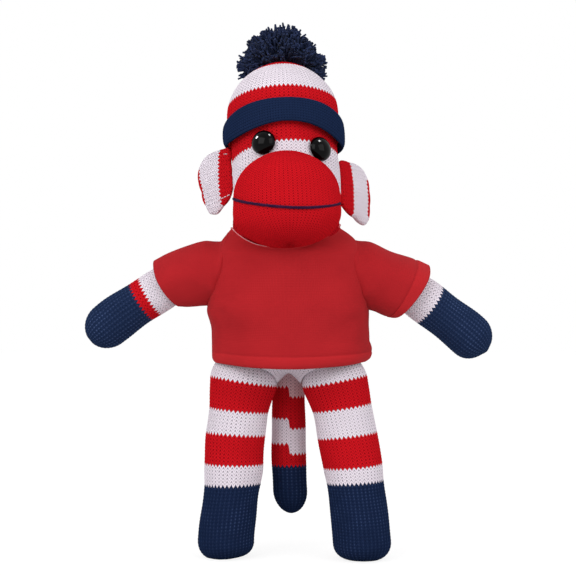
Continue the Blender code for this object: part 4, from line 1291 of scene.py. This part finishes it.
@dataclass
class Hat:
    """The knitted crown, the ribbed turned-up cuff and the yarn pompom."""

    crown_radius: float = 32.7 * MM
    wall: float = 1.8 * MM
    hem_rise: float = 60.6 * MM
    cuff_rise: float = 60.0 * MM
    cuff_height: float = 14.5 * MM
    cuff_wall: float = 2.2 * MM
    cuff_ribs: int = 140
    cuff_course: float = 1.5 * MM
    rib_height: float = 0.34 * MM
    row_height: float = 0.05 * MM
    side_sink: float = 3.8 * MM
    corner_sink: float = 4.6 * MM
    temple_sink: float = 7.0 * MM
    dome_rise: float = 75.5 * MM
    pompom_radius: float = 24.4 * MM
    pompom_lift: float = 7.5 * MM
    tip_back: float = math.radians(19.0)
    tip_side: float = math.radians(1.5)
    clumps: int = 120
    strands_per_clump: int = 17
    strand_radius: float = 0.58 * MM

    def build(self, form: StuffedForm) -> list[bpy.types.Object]:
        """Build the hat over the head's form.

        Args:
            form: The head's form.

        Returns:
            Crown, cuff and pompom.
        """
        pieces = [self.crown(form), self.cuff()]
        for piece in pieces:
            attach(piece, "head")
        return [*pieces, self.pompom()]

    def crown(self, form: StuffedForm) -> bpy.types.Object:
        """Build the crown, cut open at its hem under the cuff.

        Args:
            form: The head's form.

        Returns:
            The crown.
        """
        gauge = Gauge(relief=0.3 * MM)
        rings = form.rings(gauge.course / gauge.rows_per_course, inset=-2.2 * MM)
        bands = [(0.0, Yarn.RED), (rings.run_at(-101.5 * MM), Yarn.WHITE),
                 (rings.run_at(-84.8 * MM), Yarn.RED)]
        piece = KnitSkin("hat_crown_knit", rings, HEAD_FRAME, bands, 80, gauge, 0.3 * MM,
                         seed=14).build()
        local = moved(read_places(piece), HEAD_FRAME.inverted())
        delete_where(piece, local[:, 2] < self.hem_rise)
        apply_modifier(piece, "SOLIDIFY", thickness=self.wall, offset=-1.0)
        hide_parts("hat_crown")
        return piece

    def cuff(self) -> bpy.types.Object:
        """Build the turned-up cuff, with its ribs standing out all round.

        Returns:
            The cuff.
        """
        inside = self.crown_radius + GAP
        outside = inside + self.cuff_wall
        low, high = self.cuff_rise, self.cuff_rise + self.cuff_height
        bow, round_edge = 0.5 * MM, 1.0 * MM
        outline = [(inside, low + 1.2 * MM), (inside + 0.6 * MM, low + 0.2 * MM),
                   (outside - round_edge, low)]
        for step in range(1, 40):
            share = step / 40
            swell = bow * math.sin(math.pi * share)
            pull = round_edge * (abs(2 * share - 1) ** 8)
            outline.append((outside + swell - pull, low + (high - low) * share))
        outline += [(outside - round_edge, high), (inside + 0.6 * MM, high - 0.2 * MM),
                    (inside, high - 1.2 * MM)]
        outline += [(inside, high - (high - low) * share) for share in (0.3, 0.5, 0.7)]
        outline.append(outline[0])
        rows = len(outline) + 1
        piece = ball_start("hat_cuff_knit", self.cuff_ribs * 4, rows)
        spots = corner_table(piece)[1]
        ring, turn = ball_grid(piece, rows)
        profile = np.array([outline[0], *outline, outline[-1]])
        corner_ring = np.rint((1 - spots[:, 1]) * rows).astype(int)
        rise = profile[ring, 1]
        front = ((ring > 3) & (ring < 43)).astype(float)
        wave = np.abs(np.cos(turn * self.cuff_ribs / 2)) ** 0.6
        row_wave = np.sin(rise / self.cuff_course * 2 * math.pi)
        radius = profile[ring, 0] + front * (self.rib_height * (wave - 0.75)
                                             + self.row_height * row_wave * wave)
        side = np.cos(turn)
        top = self.side_sink * np.abs(side) ** 3
        bottom = self.corner_sink * np.clip(side, 0, 1) ** 2.5
        bottom += (self.temple_sink * np.where(side > 0, 0.8 * side ** 3, np.abs(side) ** 1.5)
                   * np.clip(-np.sin(turn), 0, 1) ** 0.6)
        share = (rise - low) / (high - low)
        local = np.stack([radius * np.cos(turn), radius * np.sin(turn),
                          rise - top * share - bottom * (1 - share)], axis=1)
        write_uv(piece, KNIT_UV, np.stack([spots[:, 0] * self.cuff_ribs,
                                           profile[corner_ring, 1] / self.cuff_course],
                                          axis=1))
        write_places(piece, moved(local, HEAD_FRAME))
        delete_where(piece, (ring == 0) | (ring == rows))
        apply_modifier(piece, "WELD", merge_threshold=0.01 * MM)
        face_outward(piece)
        shade_smooth(piece)
        finish = KnitFinish("cuff_rib_knit", [(0.0, Yarn.CUFF_NAVY)],
                            Gauge(wale=1.6 * MM, course=self.cuff_course, slant=0.3), 100 * MM)
        dress(piece, finish.material())
        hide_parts("hat_cuff")
        return piece

    def pompom(self) -> bpy.types.Object:
        """Build the pompom out of cut strands that gather in uneven clumps.

        Returns:
            The pompom.
        """
        tip = (HEAD_FRAME @ Matrix.Translation((0, 0, self.dome_rise))
               @ Euler((-self.tip_back, self.tip_side, 0.0)).to_matrix().to_4x4())
        centre = tip @ Vector((0, 0, self.crown_radius + self.pompom_lift))
        root = tip @ Vector((0, 0, self.crown_radius + 4.5 * MM))
        draw = np.random.default_rng(21)
        curve = new_curve("pompom_yarn", self.strand_radius, resolution=1)
        for clump in range(self.clumps):
            lift = 1 - 1.5 * (clump + 0.5) / self.clumps
            swing = clump * math.pi * (3 - math.sqrt(5)) + draw.uniform(-0.2, 0.2)
            flat = math.sqrt(1 - lift * lift)
            heart = tip.to_3x3() @ Vector((flat * math.cos(swing), flat * math.sin(swing), lift))
            far = self.pompom_radius * draw.uniform(0.88, 1.03) \
                * (1 + 0.09 * flat - 0.1 * max(lift, 0.0) ** 2)
            lean = Vector(draw.normal(0, 0.12, 3))
            for _strand in range(self.strands_per_clump):
                way = (heart + Vector(draw.normal(0, 0.1, 3))).normalized()
                end = centre + (way + lean * 0.5).normalized() * far * draw.uniform(0.88, 1.03)
                start = root + way * 2.0 * MM
                bow = Vector(draw.normal(0, 1.7 * MM, 3)) + lean * 5 * MM
                shares = [index / 5 for index in range(6)]
                line = lay_line(curve, [start.lerp(end, share) + bow * math.sin(math.pi * share)
                                        for share in shares])
                for point, share in zip(line.points, shares):
                    point.radius = 0.75 + 0.25 * share
        piece = as_mesh("pompom_yarn", curve)
        dress(piece, YarnFinish("pompom_yarn_finish", "#37436a", "#141925", 0.9 * MM).material())
        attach(piece, "pompom")
        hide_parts("pompom")
        return piece


@dataclass
class Arm:
    """One stuffed arm, banded from the sleeve to the navy hand."""

    side: Side
    reach: float
    droop: float
    bend: float
    bow: float
    bands: Bands
    root_radius: float = 15.6 * MM
    radius: float = 12.8 * MM
    shares: tuple = ((0.154, 1.04, 1.04, 0.0), (0.24, 0.98, 1.02, 0.0), (0.29, 0.93, 0.98, 0.0),
                     (0.40, 0.95, 0.97, 0.0), (0.55, 0.97, 0.98, 0.0), (0.80, 1.02, 1.01, 0.0),
                     (1.0, 0.98, 0.98, 0.0))

    def form(self) -> StuffedForm:
        """The stuffed form of the arm, hanging from its shoulder."""
        return StuffedForm(self.root_radius + self.reach, self.root_radius, self.radius,
                           self.radius, self.shares, self.root_radius, 12.8 * MM,
                           bend=self.side.value * self.bend)

    def place(self) -> Matrix:
        """Hang the arm's form from its shoulder.

        Returns:
            The form's frame.
        """
        shoulder = joint_place(self.side.word + "_arm_raise")
        hang = -self.side.value * (math.pi / 2 - self.droop)
        return Matrix.Translation(shoulder) @ Matrix.Rotation(hang, 4, "Y")

    def build(self) -> bpy.types.Object:
        """Build the arm's skin.

        Returns:
            The skin.
        """
        gauge = Gauge()
        rings = self.form().rings(gauge.course / gauge.rows_per_course)
        skin = KnitSkin(self.side.word + "_arm_knit", rings, self.place(),
                        band_runs(rings, self.bands), 32, gauge,
                        seed=30 + self.side.value, tilt=self.band_bow).build()
        word = self.side.word
        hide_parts(word + "_arm_skin", word + "_arm_stuffing")
        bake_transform(skin)
        return skin

    def band_bow(self, turn: np.ndarray, _run: np.ndarray) -> np.ndarray:
        """How far the bands lag behind towards the hand, for each turn round the arm."""
        return -self.bow * np.clip(-np.sin(turn), 0, 1) ** 1.5


@dataclass
class Leg:
    """One stuffed leg, flat under its foot."""

    side: Side
    lean: float
    bend: float
    step: float
    bands: Bands
    root_radius: float = 19.0 * MM
    hip_height: float = 100.0 * MM
    sway: tuple = ((0.0, 0.0), (100.0, 0.0))
    shares: tuple = ((0.16, 1.0, 1.0, 0.0), (0.235, 0.935, 0.83, 0.0), (0.30, 0.895, 0.77, 0.05),
                     (0.45, 0.90, 0.79, 0.28), (0.57, 0.895, 0.80, 0.48), (0.64, 0.85, 0.81, 0.60),
                     (0.70, 0.835, 0.84, 0.69), (0.82, 0.85, 0.95, 0.88), (0.94, 0.86, 1.02, 1.0))

    def build(self) -> bpy.types.Object:
        """Build the leg's skin and flatten its sole on the floor.

        Returns:
            The skin.
        """
        gauge = Gauge()
        sign, word = self.side.value, self.side.word
        drop_share = (math.sin(self.lean) - math.sin(self.lean - self.bend)) / self.bend
        reach = (self.hip_height + 0.5 * MM) / drop_share
        form = StuffedForm(self.root_radius + reach, self.root_radius, self.root_radius,
                           self.root_radius, self.shares, self.root_radius, 10 * MM,
                           end_fullness=0.55, bend=sign * self.bend, step=self.step)
        rings = form.rings(gauge.course / gauge.rows_per_course)
        place = (Matrix.Translation(joint_place(word + "_leg_swing"))
                 @ Matrix.Rotation(-sign * self.lean, 4, "Y"))
        skin = KnitSkin(word + "_leg_knit", rings, place, band_runs(rings, self.bands), 42, gauge,
                        seed=40 + sign, tilt=self.band_level).build()
        places = read_places(skin)
        heights, steps = zip(*[(height * MM, step * MM) for height, step in self.sway])
        places[:, 0] += np.interp(places[:, 2], heights, steps)
        places[:, 2] = np.maximum(places[:, 2], 0.0)
        write_places(skin, places)
        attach(skin, word + "_leg")
        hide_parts(word + "_leg_skin", word + "_leg_stuffing")
        return skin

    def band_level(self, turn: np.ndarray, _run: np.ndarray) -> np.ndarray:
        """How far the bands turn back towards the level, for each turn round the leg."""
        return -self.side.value * 1.3 * MM * np.cos(turn)


@dataclass
class Tail:
    """The banded tail behind the legs, whose two halves don't quite match at the seam."""

    root_radius: float = 9.5 * MM
    reach: float = 83.0 * MM
    matched_run: float = 67.0 * MM
    mismatch_step: float = 6.0 * MM
    tip_side: float = 1.4 * MM
    shares: tuple = ((0.10, 1.0, 1.0, 0.0), (0.30, 1.02, 1.02, 0.0), (0.60, 1.06, 1.04, 0.0),
                     (0.85, 1.06, 1.04, 0.0), (1.0, 1.0, 1.0, 0.0))

    def build(self) -> bpy.types.Object:
        """Build the tail.

        Returns:
            The tail's skin.
        """
        gauge = Gauge()
        form = StuffedForm(self.root_radius + self.reach, self.root_radius, self.root_radius,
                           self.root_radius, self.shares, self.root_radius, 14 * MM)
        rings = form.rings(gauge.course / gauge.rows_per_course)
        # the root's first band is white painted in shade with a pink cast of bounced red light,
        # and the navy tip is darkened with painted shade between the legs
        starts = [(0.0, Yarn.ROSE), (7.7 * MM, Yarn.RED), (26 * MM, Yarn.WHITE),
                  (39.8 * MM, Yarn.RED), (52.8 * MM, Yarn.DARK_NAVY)]
        root = joint_place("tail_swing")
        skin = KnitSkin("tail_knit", rings, Matrix.Translation(root), band_runs(rings, starts), 24,
                        gauge, 0.3 * MM, seed=50, tilt=self.mismatch).build()
        places = read_places(skin)
        # below its upper half the tail hangs a little to one side
        fall = np.clip((root.z - 40 * MM - places[:, 2]) / (43 * MM), 0, 1)
        places[:, 0] += self.tip_side * fall ** 1.5
        write_places(skin, places)
        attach(skin, "tail")
        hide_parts("tail_skin", "tail_stuffing")
        return skin

    def mismatch(self, turn: np.ndarray, run: np.ndarray) -> np.ndarray:
        """How far the left half's bands lie below the right one's, down to the navy tip."""
        return np.where((np.cos(turn) > 0) & (run < self.matched_run), -self.mismatch_step, 0.0)


@dataclass
class TShirt:
    """The thin jersey T-shirt: one tube for the body, two set-in sleeves and a neckband."""

    top: float = 173.0 * MM
    height: float = 62.5 * MM
    half_width: float = 46.8 * MM
    half_depth: float = 34.1 * MM
    neck_half_width: float = 31.2 * MM
    neck_side: float = -1.7 * MM
    neck_half_depth: float = 25.5 * MM
    front_rise: float = 4.0 * MM
    side_rise: float = 12.0 * MM
    back_rise: float = 8.0 * MM
    wall: float = 0.9 * MM
    hem: float = 6.5 * MM
    fold_count: int = 9
    neck_steps: int = 200
    armhole: float = 14.6 * MM
    # share of the way down to the hem, then how far the body reaches, in mm: right, left, front
    reaches: tuple = (
        (0.0, 41.6, 41.2, 25.4), (0.064, 42.8, 42.4, 25.7), (0.16, 44.2, 43.9, 26.6),
        (0.288, 45.8, 45.2, 28.5), (0.448, 46.9, 45.8, 31.3), (0.52, 47.2, 46.2, 32.0),
        (0.66, 45.0, 45.8, 32.7), (0.79, 44.7, 45.5, 33.0), (0.83, 44.7, 46.6, 33.1),
        (0.87, 44.7, 47.4, 33.3), (0.92, 44.7, 47.0, 34.0), (1.0, 44.4, 45.4, 34.1))
    # share of the sleeve, then x and z of its top and bottom lines and its half depth, in mm
    right_lines: tuple = (
        (0.0, 31.5, 182.0, 39.0, 147.5, 14.0), (0.1, 34.4, 187.0, 41.5, 145.6, 18.0),
        (0.22, 38.6, 181.6, 44.5, 144.9, 18.8), (0.4, 48.5, 181.7, 49.5, 144.5, 19.0),
        (0.6, 58.5, 178.8, 53.8, 144.0, 18.8), (0.8, 69.0, 174.6, 58.0, 143.8, 17.6),
        (1.0, 76.7, 170.5, 61.8, 144.4, 15.8))
    left_lines: tuple = (
        (0.0, 29.5, 182.0, 39.0, 145.5, 14.0), (0.1, 31.6, 186.8, 42.5, 143.6, 18.0),
        (0.22, 38.0, 182.3, 45.3, 142.6, 19.0), (0.4, 47.5, 181.0, 49.5, 141.3, 19.4),
        (0.6, 59.0, 175.6, 53.0, 139.6, 19.8), (0.8, 71.3, 171.6, 56.2, 138.2, 19.4),
        (1.0, 80.7, 167.3, 59.7, 137.4, 18.3))
    sleeve_length: float = 42.0 * MM
    sleeve_radius: float = 18.0 * MM
    skew: float = 4.5 * MM
    # the right sleeve's hem has slipped inside, so its band doesn't show
    turned_in: float = 9.0 * MM

    def build(self) -> list[bpy.types.Object]:
        """Build the shirt's sheets.

        Returns:
            Body, sleeves, neckband and its thread.
        """
        finish = JerseyFinish().material()
        return [self.body(finish), self.sleeve(Side.RIGHT, self.right_lines, finish),
                self.sleeve(Side.LEFT, self.left_lines, finish), *self.neckband(finish)]

    def neckline(self, turn: np.ndarray) -> np.ndarray:
        """Measure the neckline above the edge of the chest.

        Args:
            turn: Turns round the doll.

        Returns:
            A height in metres for each turn.
        """
        across, back = np.cos(turn), np.maximum(np.sin(turn), 0.0)
        steep = np.where(across < 0, 3.0, 2.0)
        return (self.front_rise + self.side_rise * np.abs(across) ** steep
                + 1.8 * MM * np.clip(across, 0, 1) ** 16 + self.back_rise * back ** 2)

    def folds(self, across: np.ndarray, tall: np.ndarray, turn: np.ndarray,
              share: np.ndarray) -> np.ndarray:
        """Outward push of the cloth: waves at the hem and folds that run from the armpits.

        Args:
            across: Places across the doll, in metres.
            tall: Heights of the places.
            turn: Turns round the doll.
            share: Shares of the way from the chest edge to the hem.

        Returns:
            Distances in metres.
        """
        push = 0.5 * MM * share ** 2 * np.cos(self.fold_count * turn)
        front = np.where(np.sin(turn) < 0, 1.0, 0.6)
        for side, height, seed in ((-1, 145 * MM, 0.4), (1, 141 * MM, -0.5)):
            reach, fall = 46 * MM - side * across, tall - height
            ray = np.hypot(reach, fall)
            swing = np.arctan2(fall, np.maximum(reach, 0.1 * MM))
            push += (0.8 * MM * front * np.clip(share * 5, 0, 1)
                     * np.exp(-(ray / (23 * MM)) ** 1.4) * np.clip(ray / (9 * MM), 0, 1)
                     * np.cos(5.0 * swing + seed)) * (1 - np.cos(turn) ** 4)
        # slack cloth rolls over above the hem on the left, and sinks over the right hip
        slack = tall - 122 * MM - 0.25 * (across - 30 * MM)
        push += 1.1 * MM * np.exp(-(slack / (6 * MM)) ** 2) * np.clip(np.cos(turn), 0, 0.8)
        dent = np.hypot((across + 30 * MM) / (26 * MM), (tall - 128 * MM) / (7 * MM))
        push -= 1.0 * MM * np.exp(-dent ** 2) * (np.sin(turn) < 0)
        return push

    def body(self, finish: bpy.types.Material) -> bpy.types.Object:
        """Build the tube from hem to neckline, with folds running in from the armpits.

        Args:
            finish: The jersey.

        Returns:
            The shirt's body.
        """
        rows, yoke = 120, 26
        piece = ball_start("shirt_body_sheet", 340, rows + 2)
        verts, spots = corner_table(piece)
        ring, turn = ball_grid(piece, rows + 2)
        level = ring - 1
        share = np.clip((level - yoke) / (rows - yoke), 0, 1)
        steps = np.linspace(0, 1, 400)
        right, left, depth = [np.interp(share, steps, [
            smooth_value(self.reaches, value, column) * MM for value in steps])
            for column in (1, 2, 3)]
        cosine, sine = np.cos(turn), np.sin(turn)
        width = np.where(cosine < 0, right, left)
        rise = np.clip(1 - level / yoke, 0, 1)
        # the collar stands up beside the neck, above the slope of the shoulders
        slope = np.clip(rise / np.where(cosine > 0, 0.9, 1.0), 0, 1)
        width += ((self.neck_half_width - width)
                  * (1 - np.cos(slope * math.pi / 2)) ** np.where(cosine > 0, 1.6, 1.0))
        depth += (self.neck_half_depth - depth) * rise
        drop = share * self.height
        sag = (1.3 * MM - 3.0 * MM * cosine ** 2) * share ** 3
        tall = self.top - drop - sag + rise * self.neckline(turn)
        # the chest is squarer than an ellipse, because the sleeves hold it out at the seams
        square = 1.0 - 0.38 * np.clip(1 - share * 1.3, 0, 1) * (1 - rise ** 2)
        across = np.sign(cosine) * np.abs(cosine) ** square
        out = np.sign(sine) * np.abs(sine) ** square
        hem_drop = drop - self.height + self.hem
        push = self.folds(across * width, tall, turn, share)
        push += 0.6 * MM * lumps(np.stack([across * width, out * depth, tall], 1), 34 * MM,
                                 61) * np.clip(share * 4, 0, 1) * (1 - cosine ** 2)
        curl = np.clip((hem_drop - self.hem + 3 * MM) / (3 * MM), 0, 1)
        push += (-0.4 * MM * np.exp(-(hem_drop / (0.9 * MM)) ** 2) * (1 - cosine ** 4)
                 + 0.6 * MM * np.clip(hem_drop / (1.4 * MM), 0, 1) * np.clip(0.6 + cosine, 0, 1)
                 - (1.3 * MM + 0.9 * MM * np.clip(cosine, 0, 1)) * curl ** 2)
        places = np.stack([(width + push) * across + self.neck_side * rise ** 1.5,
                           (depth + push) * out, tall], 1)
        places += np.array(DOLL_PLACE)
        write_places(piece, places)
        around = math.pi * (self.half_width + self.half_depth)
        from_hem = self.height - drop + rise * self.neckline(turn)
        write_uv(piece, CLOTH_UV, np.stack([spots[:, 0] * around, from_hem[verts]], axis=1))
        holes = np.zeros(len(places), bool)
        for name in ("right_arm_raise", "left_arm_raise"):
            holes |= np.linalg.norm(places - np.array(joint_place(name)), axis=1) < self.armhole
        delete_where(piece, holes | (ring == 0) | (ring == rows + 2))
        apply_modifier(piece, "SOLIDIFY", thickness=self.wall, offset=-1.0)
        shade_smooth(piece)
        dress(piece, finish)
        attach(piece, "torso")
        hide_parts("shirt_body", "shirt_collar")
        return piece

    def sleeve(self, side: Side, lines: Sequence[Sequence[float]],
               finish: bpy.types.Material) -> bpy.types.Object:
        """Build one sleeve, which opens over the upper arm.

        Args:
            side: The sleeve's side.
            lines: Share, then x and z of its top and bottom lines and its half depth.
            finish: The jersey.

        Returns:
            The sleeve.
        """
        rows = 64
        sign, word = side.value, side.word
        piece = ball_start(word + "_sleeve_sheet", 180, rows + 2)
        verts, spots = corner_table(piece)
        ring, turn = ball_grid(piece, rows + 2)
        level = np.clip((ring - 1) / rows, 0, 1)
        steps = np.linspace(0, 1, 300)
        table = np.array([[smooth_value(lines, value, column) * MM for column in range(1, 6)]
                          for value in steps])
        top_x, top_z, low_x, low_z, depth = [np.interp(level, steps, column) for column in table.T]
        up, front = np.cos(turn), np.sin(turn)
        middle_x, middle_z = (top_x + low_x) / 2, (top_z + low_z) / 2
        half_x, half_z = (top_x - low_x) / 2, (top_z - low_z) / 2
        half = np.hypot(half_x, half_z)
        run = level * self.sleeve_length
        # folds fan out from the armpit and die away towards the hem
        from_seam, from_pit = run + 4 * MM, (up + 1) * half
        fold = (1.1 * MM * np.exp(-np.hypot(from_seam, from_pit) / (16 * MM))
                * np.cos(10 * np.arctan2(from_pit, from_seam)))
        fold += 0.5 * MM * level * np.cos(5 * turn + sign)
        edge = self.sleeve_length - run
        if side is Side.RIGHT:
            edge = edge + self.turned_in
        stitched = -0.4 * MM * np.exp(-((edge - self.hem) / (0.7 * MM)) ** 2)
        grow = 1 + (fold + stitched + 0.25 * MM * (edge < self.hem)) / half
        lead = self.skew * level ** 2 * front
        places = np.stack([sign * (middle_x + half_x * up * grow + lead * half_z / half),
                           -depth * front * grow,
                           middle_z + half_z * up * grow - lead * half_x / half], axis=1)
        write_places(piece, places + np.array(DOLL_PLACE))
        around = 2 * math.pi * self.sleeve_radius
        write_uv(piece, CLOTH_UV, np.stack([spots[:, 0] * around, edge[verts]], axis=1))
        delete_where(piece, (ring == 0) | (ring == rows + 2))
        face_outward(piece)
        apply_modifier(piece, "SOLIDIFY", thickness=self.wall, offset=-1.0)
        shade_smooth(piece)
        dress(piece, finish)
        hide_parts(word + "_sleeve")
        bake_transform(piece)
        return piece

    def neckband(self, finish: bpy.types.Material) -> list[bpy.types.Object]:
        """Build the narrow rolled edge round the neckline, and the pale thread that sews it.

        Args:
            finish: The jersey.

        Returns:
            The edge and its thread.
        """
        thread = YarnFinish("overlock_thread", "#ecb8bb", "#c06a72", 0.6 * MM).material()
        turns = [2 * math.pi * index / self.neck_steps for index in range(self.neck_steps)]
        rises = [float(self.neckline(np.array([turn]))[0]) for turn in turns]
        pieces = []
        for name, radius, lift, material in (("shirt_neckband", 0.62 * MM, 0.0, finish),
                                             ("neckline_thread", 0.3 * MM, 0.5 * MM, thread)):
            curve = new_curve(name, radius, resolution=3, capped=False)
            half_width = self.neck_half_width + lift / 2
            half_depth = self.neck_half_depth + lift / 2
            lay_line(curve, [DOLL_PLACE + Vector((self.neck_side + half_width * math.cos(turn),
                                                  half_depth * math.sin(turn),
                                                  self.top + rise + lift))
                             for turn, rise in zip(turns, rises)]).use_cyclic_u = True
            piece = as_mesh(name, curve)
            dress(piece, material)
            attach(piece, "torso")
            pieces.append(piece)
        return pieces


# ---------------------------------------------------------------- studio

@dataclass
class Studio:
    """A white table and backdrop, soft lamps, and the camera in front of the doll."""

    distance: float = 950.0 * MM
    side: float = -0.4 * MM
    height: float = 154.6 * MM
    frame_width: float = 332.4 * MM
    table_size: float = 6.0
    room_light: float = 0.72

    def build(self) -> None:
        """Set up the table, the world, the lamps and the camera."""
        self.table()
        self.world()
        self.lamp("key_softbox", (-0.75, -0.9, 0.8), 0.9, 7.5)
        self.lamp("fill_softbox", (0.85, -0.8, 0.7), 0.9, 5.0)
        for name, place, size, power in (("side_glint", (-1.08, 0.04, 1.08), 0.3, 38.0),
                                         ("top_glint", (0.5, -0.18, 1.49), 0.3, 26.0)):
            self.lamp(name, place, size, power).visible_diffuse = False
        self.camera()
        bpy.context.scene.view_settings.view_transform = "Standard"

    def camera(self) -> None:
        """Stand the camera in front of the doll, level with the middle of it."""
        lens = bpy.data.cameras.new("photograph")
        lens.sensor_fit = "HORIZONTAL"
        lens.lens_unit = "FOV"
        lens.angle = 2 * math.atan(self.frame_width / 2 / self.distance)
        camera = bpy.data.objects.new("photograph", lens)
        bpy.context.scene.collection.objects.link(camera)
        camera.location = DOLL_PLACE + Vector((self.side, -self.distance, self.height))
        camera.rotation_euler = (math.pi / 2, 0.0, 0.0)
        bpy.context.scene.camera = camera

    def table(self) -> None:
        """Lay the white table, which keeps the doll's shadow."""
        bpy.ops.object.select_all(action="DESELECT")
        bpy.ops.mesh.primitive_plane_add(size=self.table_size)
        table = bpy.context.object
        table.name = "white_table"
        material, tree, shader = new_finish("matt_white_card", 0.9)
        place = add_node(tree, "ShaderNodeTexCoord").outputs["Object"]
        grain = add_node(tree, "ShaderNodeTexNoise", inputs={"Vector": place, "Scale": 40.0})
        tone = arithmetic(tree, "MULTIPLY_ADD", grain.outputs[0], 0.01, 0.22)
        tree.links.new(tone, shader.inputs["Base Color"])
        shader.inputs["Specular IOR Level"].default_value = 0.0
        glow = add_node(tree, "ShaderNodeEmission", inputs={"Strength": 0.84})
        seen = add_node(tree, "ShaderNodeAddShader", inputs={0: shader.outputs[0],
                                                             1: glow.outputs[0]})
        # the floor throws back more light at the doll than the camera's white shows of it
        bounce = add_node(tree, "ShaderNodeBsdfDiffuse", inputs={"Color": (0.66, 0.66, 0.66, 1.0)})
        self.mix_by_ray(tree, bounce, seen, "Material Output")
        dress(table, material)

    def world(self) -> None:
        """Fill the room with even light, in front of a white backdrop."""
        world = bpy.data.worlds.new("white_room")
        world.use_nodes = True
        tree = world.node_tree
        light = tree.nodes["Background"]
        white = (1.0, 1.0, 1.0, 1.0)
        light.inputs["Color"].default_value = white
        light.inputs["Strength"].default_value = self.room_light
        backdrop = add_node(tree, "ShaderNodeBackground", inputs={"Color": white, "Strength": 1.0})
        self.mix_by_ray(tree, light, backdrop, "World Output")
        bpy.context.scene.world = world

    def mix_by_ray(self, tree: bpy.types.NodeTree, spread: bpy.types.Node,
                   seen: bpy.types.Node, output: str) -> None:
        """Show one shader to the rays that see it and another to those that only light by it.

        Args:
            tree: The node tree to add to.
            spread: The shader for the light that spreads.
            seen: The shader for the camera, and for what is seen in glossy or clear pieces.
            output: Name of the tree's output node.
        """
        path = add_node(tree, "ShaderNodeLightPath")
        pick = arithmetic(tree, "MAXIMUM", path.outputs["Is Camera Ray"], arithmetic(
            tree, "MAXIMUM", path.outputs["Is Glossy Ray"], path.outputs["Is Transmission Ray"]))
        mixed = add_node(tree, "ShaderNodeMixShader",
                         inputs={0: pick, 1: spread.outputs[0], 2: seen.outputs[0]})
        tree.links.new(mixed.outputs[0], tree.nodes[output].inputs["Surface"])

    def lamp(self, name: str, place: tuple[float, float, float], size: float,
             power: float) -> bpy.types.Object:
        """Hang one soft box, aimed at the doll's chest.

        Args:
            name: Name of the lamp.
            place: Where it hangs from the doll's feet, in metres.
            size: Side of the box, in metres.
            power: Its power in watts.

        Returns:
            The lamp.
        """
        light = bpy.data.lights.new(name, "AREA")
        light.size = size
        light.energy = power
        lamp = bpy.data.objects.new(name, light)
        bpy.context.scene.collection.objects.link(lamp)
        lamp.location = DOLL_PLACE + Vector(place)
        aim = DOLL_PLACE + Vector((0, 0, 150 * MM)) - lamp.location
        lamp.rotation_euler = aim.to_track_quat("-Z", "Y").to_euler()
        return lamp


def dress_kept_nodes() -> None:
    """Give the CAD nodes that stay their finishes: the eyes' washers and the pompom's tie."""
    washer = PlasticFinish("washer_polypropylene", "#d9d6d0", 0.45).material()
    tie = YarnFinish("pompom_tie_yarn", "#2b2838", "#14121c", 0.9 * MM).material()
    for name, material in (("right_eye_washer", washer), ("left_eye_washer", washer),
                           ("pompom_tie", tie)):
        dress(bpy.data.objects[name], material)


def main() -> None:
    """Build the doll and its studio, and log the triangles of each piece."""
    logging.basicConfig(level=logging.INFO, format="%(name)s: %(message)s")
    head = Head()
    right_ear = Ear(
        Side.RIGHT, 39.9 * MM, math.radians(43),
        ((23.6, 9.7), (23.3, 5.0), (22.4, 13.6), (19.4, 17.0), (14.5, 18.9), (8.0, 19.2),
         (3.0, 19.2), (-3.0, 18.9), (-3.0, 10.0), (-3.0, 2.0), (-3.0, -8.4), (4.6, -16.0),
         (8.8, -19.4), (14.6, -17.6), (17.2, -12.9), (20.6, -3.0)),
        [(0.0, Yarn.RED), (6.4 * MM, Yarn.WHITE), (23.0 * MM, Yarn.RED)])
    left_ear = Ear(
        Side.LEFT, 28.7 * MM, math.radians(47),
        ((22.6, 5.5), (21.4, 13.2), (17.8, 18.6), (13.0, 20.2), (5.8, 19.5), (-3.0, 18.2),
         (-3.0, 9.0), (-3.0, 2.0), (-3.0, -8.6), (8.5, -13.8), (12.5, -16.0),
         (17.0, -16.6), (20.8, -12.6), (22.0, -4.3)),
        [(0.0, Yarn.RED), (8.0 * MM, Yarn.WHITE), (21.6 * MM, Yarn.RED)])
    pieces = [*Torso().build(), *head.build(), *Hat().build(head.form())]
    pieces += [
        right_ear.build(), right_ear.stitches(), left_ear.build(),
        Arm(Side.RIGHT, 84.0 * MM, math.radians(21), math.radians(20.5), 1.0 * MM,
            [(0.0, Yarn.WHITE), (39.7 * MM, Yarn.RED), (45.4 * MM, Yarn.NAVY)]).build(),
        Arm(Side.LEFT, 87.5 * MM, math.radians(27), math.radians(16), 2.0 * MM,
            [(0.0, Yarn.WHITE), (43.6 * MM, Yarn.NAVY)]).build(),
        Leg(Side.RIGHT, math.radians(13), math.radians(16), 2 * MM,
            [(0.0, Yarn.WHITE), (-2.0 * MM, Yarn.RED), (14.6 * MM, Yarn.WHITE),
             (28.4 * MM, Yarn.RED), (47.0 * MM, Yarn.WHITE), (57.0 * MM, Yarn.DARK_NAVY)],
            sway=((10, 0.0), (25, 1.4), (41, 3.0), (51, 2.8), (68, 1.9), (86, 1.3), (100, 0.6),
                  (112, 0.0))).build(),
        Leg(Side.LEFT, math.radians(14.5), math.radians(11.5), 9 * MM,
            [(0.0, Yarn.WHITE), (-3.3 * MM, Yarn.RED), (14.5 * MM, Yarn.WHITE),
             (30.4 * MM, Yarn.RED), (48.2 * MM, Yarn.WHITE), (57.0 * MM, Yarn.DARK_NAVY)]).build(),
        Tail().build(),
    ]
    pieces += TShirt().build()
    dress_kept_nodes()
    Studio().build()
    for piece in pieces:
        piece.data.calc_loop_triangles()
        LOG.info("%s: %d triangles", piece.name, len(piece.data.loop_triangles))


if __name__ == "__main__":
    main()
